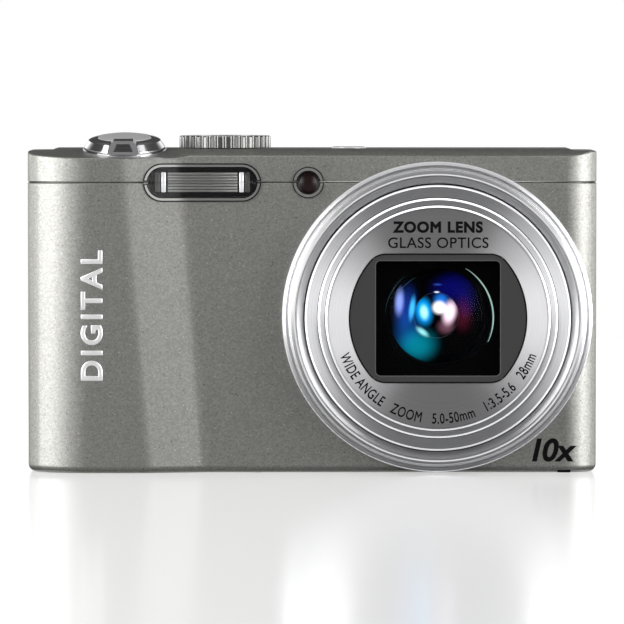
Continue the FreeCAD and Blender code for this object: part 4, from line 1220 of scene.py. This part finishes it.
@dataclass
class Studio:
    """The pale floor, the soft lights and the camera."""

    view_width: float = 108.6        # how much of the object's front plane the frame spans
    distance: float = 850.0
    eye_z: float = 70.0
    aim_z: float = 28.1
    front_y: float = -10.0
    sensor: float = 36.0
    dim: float = 0.07                # brightness of the room where no panel lies
    panels: tuple[Panel, ...] = (    # left wall, right wall, round the eye, ceiling, and low behind
        Panel(2.9, (("X", -0.2, -0.62), ("Z", 0.55, 0.12))),
        Panel(2.7, (("X", 0.18, 0.58), ("Z", 0.55, 0.12))),
        Panel(0.12, (("Y", -0.75, -1.0),)),
        Panel(0.1, (("Z", 0.6, 0.95),)),
        Panel(1.0, (("Y", 0.3, 0.8), ("Z", 0.24, 0.08))),
    )
    boxes: tuple[SoftBox, ...] = (
        SoftBox("soft_box_left", (-0.62, -0.36, 0.22), (0.34, 0.9), 5.0),
        SoftBox("soft_box_right", (0.62, -0.36, 0.22), (0.34, 0.9), 5.0),
        SoftBox("soft_box_top", (0.0, -0.1, 0.8), (1.3, 0.5), 2.0, aim=(0.0, -0.05, 0.03)),
    )
    floor_side: float = 900.0        # how far the floor reaches to the sides and to the front
    floor_back: float = 420.0        # how far it reaches to the back
    floor_z: float = -0.1            # just under the base
    floor_lift: float = 0.34         # light added to the floor as the eye sees it, so that it goes white
    floor_seen: str = "#D6D6D6"      # its colour to the eye
    floor_mirrored: str = "#8A8A8A"  # its colour to the light that reaches the object
    touching: float = 0.6            # rays shorter than this pass through it, so the base isn't black

    def build(self) -> None:
        """Sets the stage."""
        self.floor()
        self.world()
        for box in self.boxes:
            self.soft_box(box)
        self.camera()

    def floor(self) -> None:
        """The glossy white floor, wide enough to fill every view."""
        work = bmesh.new()
        made = bmesh.ops.create_grid(work, x_segments=1, y_segments=1, size=0.5)["verts"]
        length = self.floor_side + self.floor_back
        bmesh.ops.scale(work, verts=made, vec=Vector((2 * self.floor_side, length, 1.0)) * MM)
        middle_y = (self.floor_back - self.floor_side) / 2
        bmesh.ops.translate(work, verts=made, vec=Vector((0.0, middle_y, self.floor_z)) * MM)
        mesh = shade_mesh(work, "floor", CURVE_DEG)
        mesh.materials.append(self.floor_material())
        floor = bpy.data.objects.new("floor", mesh)
        bpy.context.scene.collection.objects.link(floor)

    def floor_material(self) -> bpy.types.Material:
        """Glossy white acrylic that can't be seen from below."""
        material = bpy.data.materials.new("White_Acrylic_Floor")
        material.use_nodes = True
        tree = material.node_tree
        tree.nodes.clear()
        path = add_node(tree, "LightPath").outputs
        seen = path["Is Camera Ray"]
        tone = add_node(tree, "Mix", {"Factor": seen, 6: linear(self.floor_mirrored),
                                      7: linear(self.floor_seen)}, data_type="RGBA").outputs[2]
        glow = add_node(tree, "Math", {0: seen, 1: self.floor_lift}, operation="MULTIPLY").outputs[0]
        sheet = add_node(tree, "BsdfPrincipled", {
            "Base Color": tone, "Roughness": 0.16, "Specular IOR Level": 0.5,
            "Emission Color": (1.0, 1.0, 1.0, 1.0), "Emission Strength": glow}).outputs["BSDF"]
        near = add_node(tree, "Math", {0: path["Ray Length"], 1: self.touching * MM},
                        operation="LESS_THAN").outputs[0]
        under = add_node(tree, "NewGeometry").outputs["Backfacing"]
        gone = add_node(tree, "Math", {0: near, 1: under}, operation="MAXIMUM").outputs[0]
        clear = add_node(tree, "BsdfTransparent").outputs[0]
        shown = add_node(tree, "MixShader", {0: gone, 1: sheet, 2: clear}).outputs[0]
        tree.links.new(shown, add_node(tree, "OutputMaterial").inputs["Surface"])
        return material

    def world(self) -> None:
        """A dim room with bright panels, and plain white behind everything that the eye sees."""
        world = bpy.data.worlds.new("studio")
        bpy.context.scene.world = world
        world.use_nodes = True
        tree = world.node_tree
        tree.nodes.clear()
        way = add_node(tree, "SeparateXYZ", {0: add_node(tree, "TexCoord").outputs["Generated"]})
        level: Any = self.dim
        for panel in self.panels:
            share: Any = panel.gain
            for axis, start, full in panel.ramps:
                ramp = add_node(tree, "MapRange", {
                    "Value": way.outputs[axis], "From Min": start, "From Max": full},
                    interpolation_type="SMOOTHSTEP").outputs["Result"]
                share = add_node(tree, "Math", {0: ramp, 1: share}, operation="MULTIPLY").outputs[0]
            level = add_node(tree, "Math", {0: share, 1: level}, operation="ADD").outputs[0]
        white = (1.0, 1.0, 1.0, 1.0)
        room = add_node(tree, "Background", {"Color": white, "Strength": level}).outputs[0]
        sheet = add_node(tree, "Background", {"Color": white, "Strength": 1.0}).outputs[0]
        seen = add_node(tree, "LightPath").outputs["Is Camera Ray"]
        mixed = add_node(tree, "MixShader", {0: seen, 1: room, 2: sheet}).outputs[0]
        tree.links.new(mixed, add_node(tree, "OutputWorld").inputs["Surface"])

    @staticmethod
    def soft_box(box: SoftBox) -> None:
        """Hangs a soft box in its place, facing its aim."""
        lamp = bpy.data.lights.new(box.name, "AREA")
        lamp.shape = "RECTANGLE"
        lamp.size, lamp.size_y = box.size
        lamp.energy = box.watts
        holder = bpy.data.objects.new(box.name, lamp)
        holder.location = box.place
        holder.rotation_euler = (Vector(box.aim) - Vector(box.place)).to_track_quat("-Z", "Y").to_euler()
        bpy.context.scene.collection.objects.link(holder)

    def camera(self) -> None:
        """The eye: in front, a little above the lens, and far off."""
        data = bpy.data.cameras.new("eye")
        data.sensor_width = self.sensor
        data.lens = self.sensor * self.distance / self.view_width
        data.clip_start, data.clip_end = 0.05, 50.0
        eye = bpy.data.objects.new("eye", data)
        eye.location = Vector((0.0, self.front_y - self.distance, self.eye_z)) * MM
        aim = Vector((0.0, self.front_y, self.aim_z)) * MM
        eye.rotation_euler = (aim - eye.location).to_track_quat("-Z", "Y").to_euler()
        bpy.context.scene.collection.objects.link(eye)
        bpy.context.scene.camera = eye
        bpy.context.scene.view_settings.view_transform = "Standard"


def main() -> None:
    """Builds every sub-assembly."""
    logging.basicConfig(level=logging.INFO, format="%(name)s %(message)s")
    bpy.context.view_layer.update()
    assemblies = (CaseShells(), LensRings(), LensGlass(), FlashUnit(), TopControls(), RearPanel(), Inside(),
                  Studio())
    for assembly in assemblies:
        LOG.info("building %s", type(assembly).__name__)
        assembly.build()


if __name__ == "__main__":
    main()
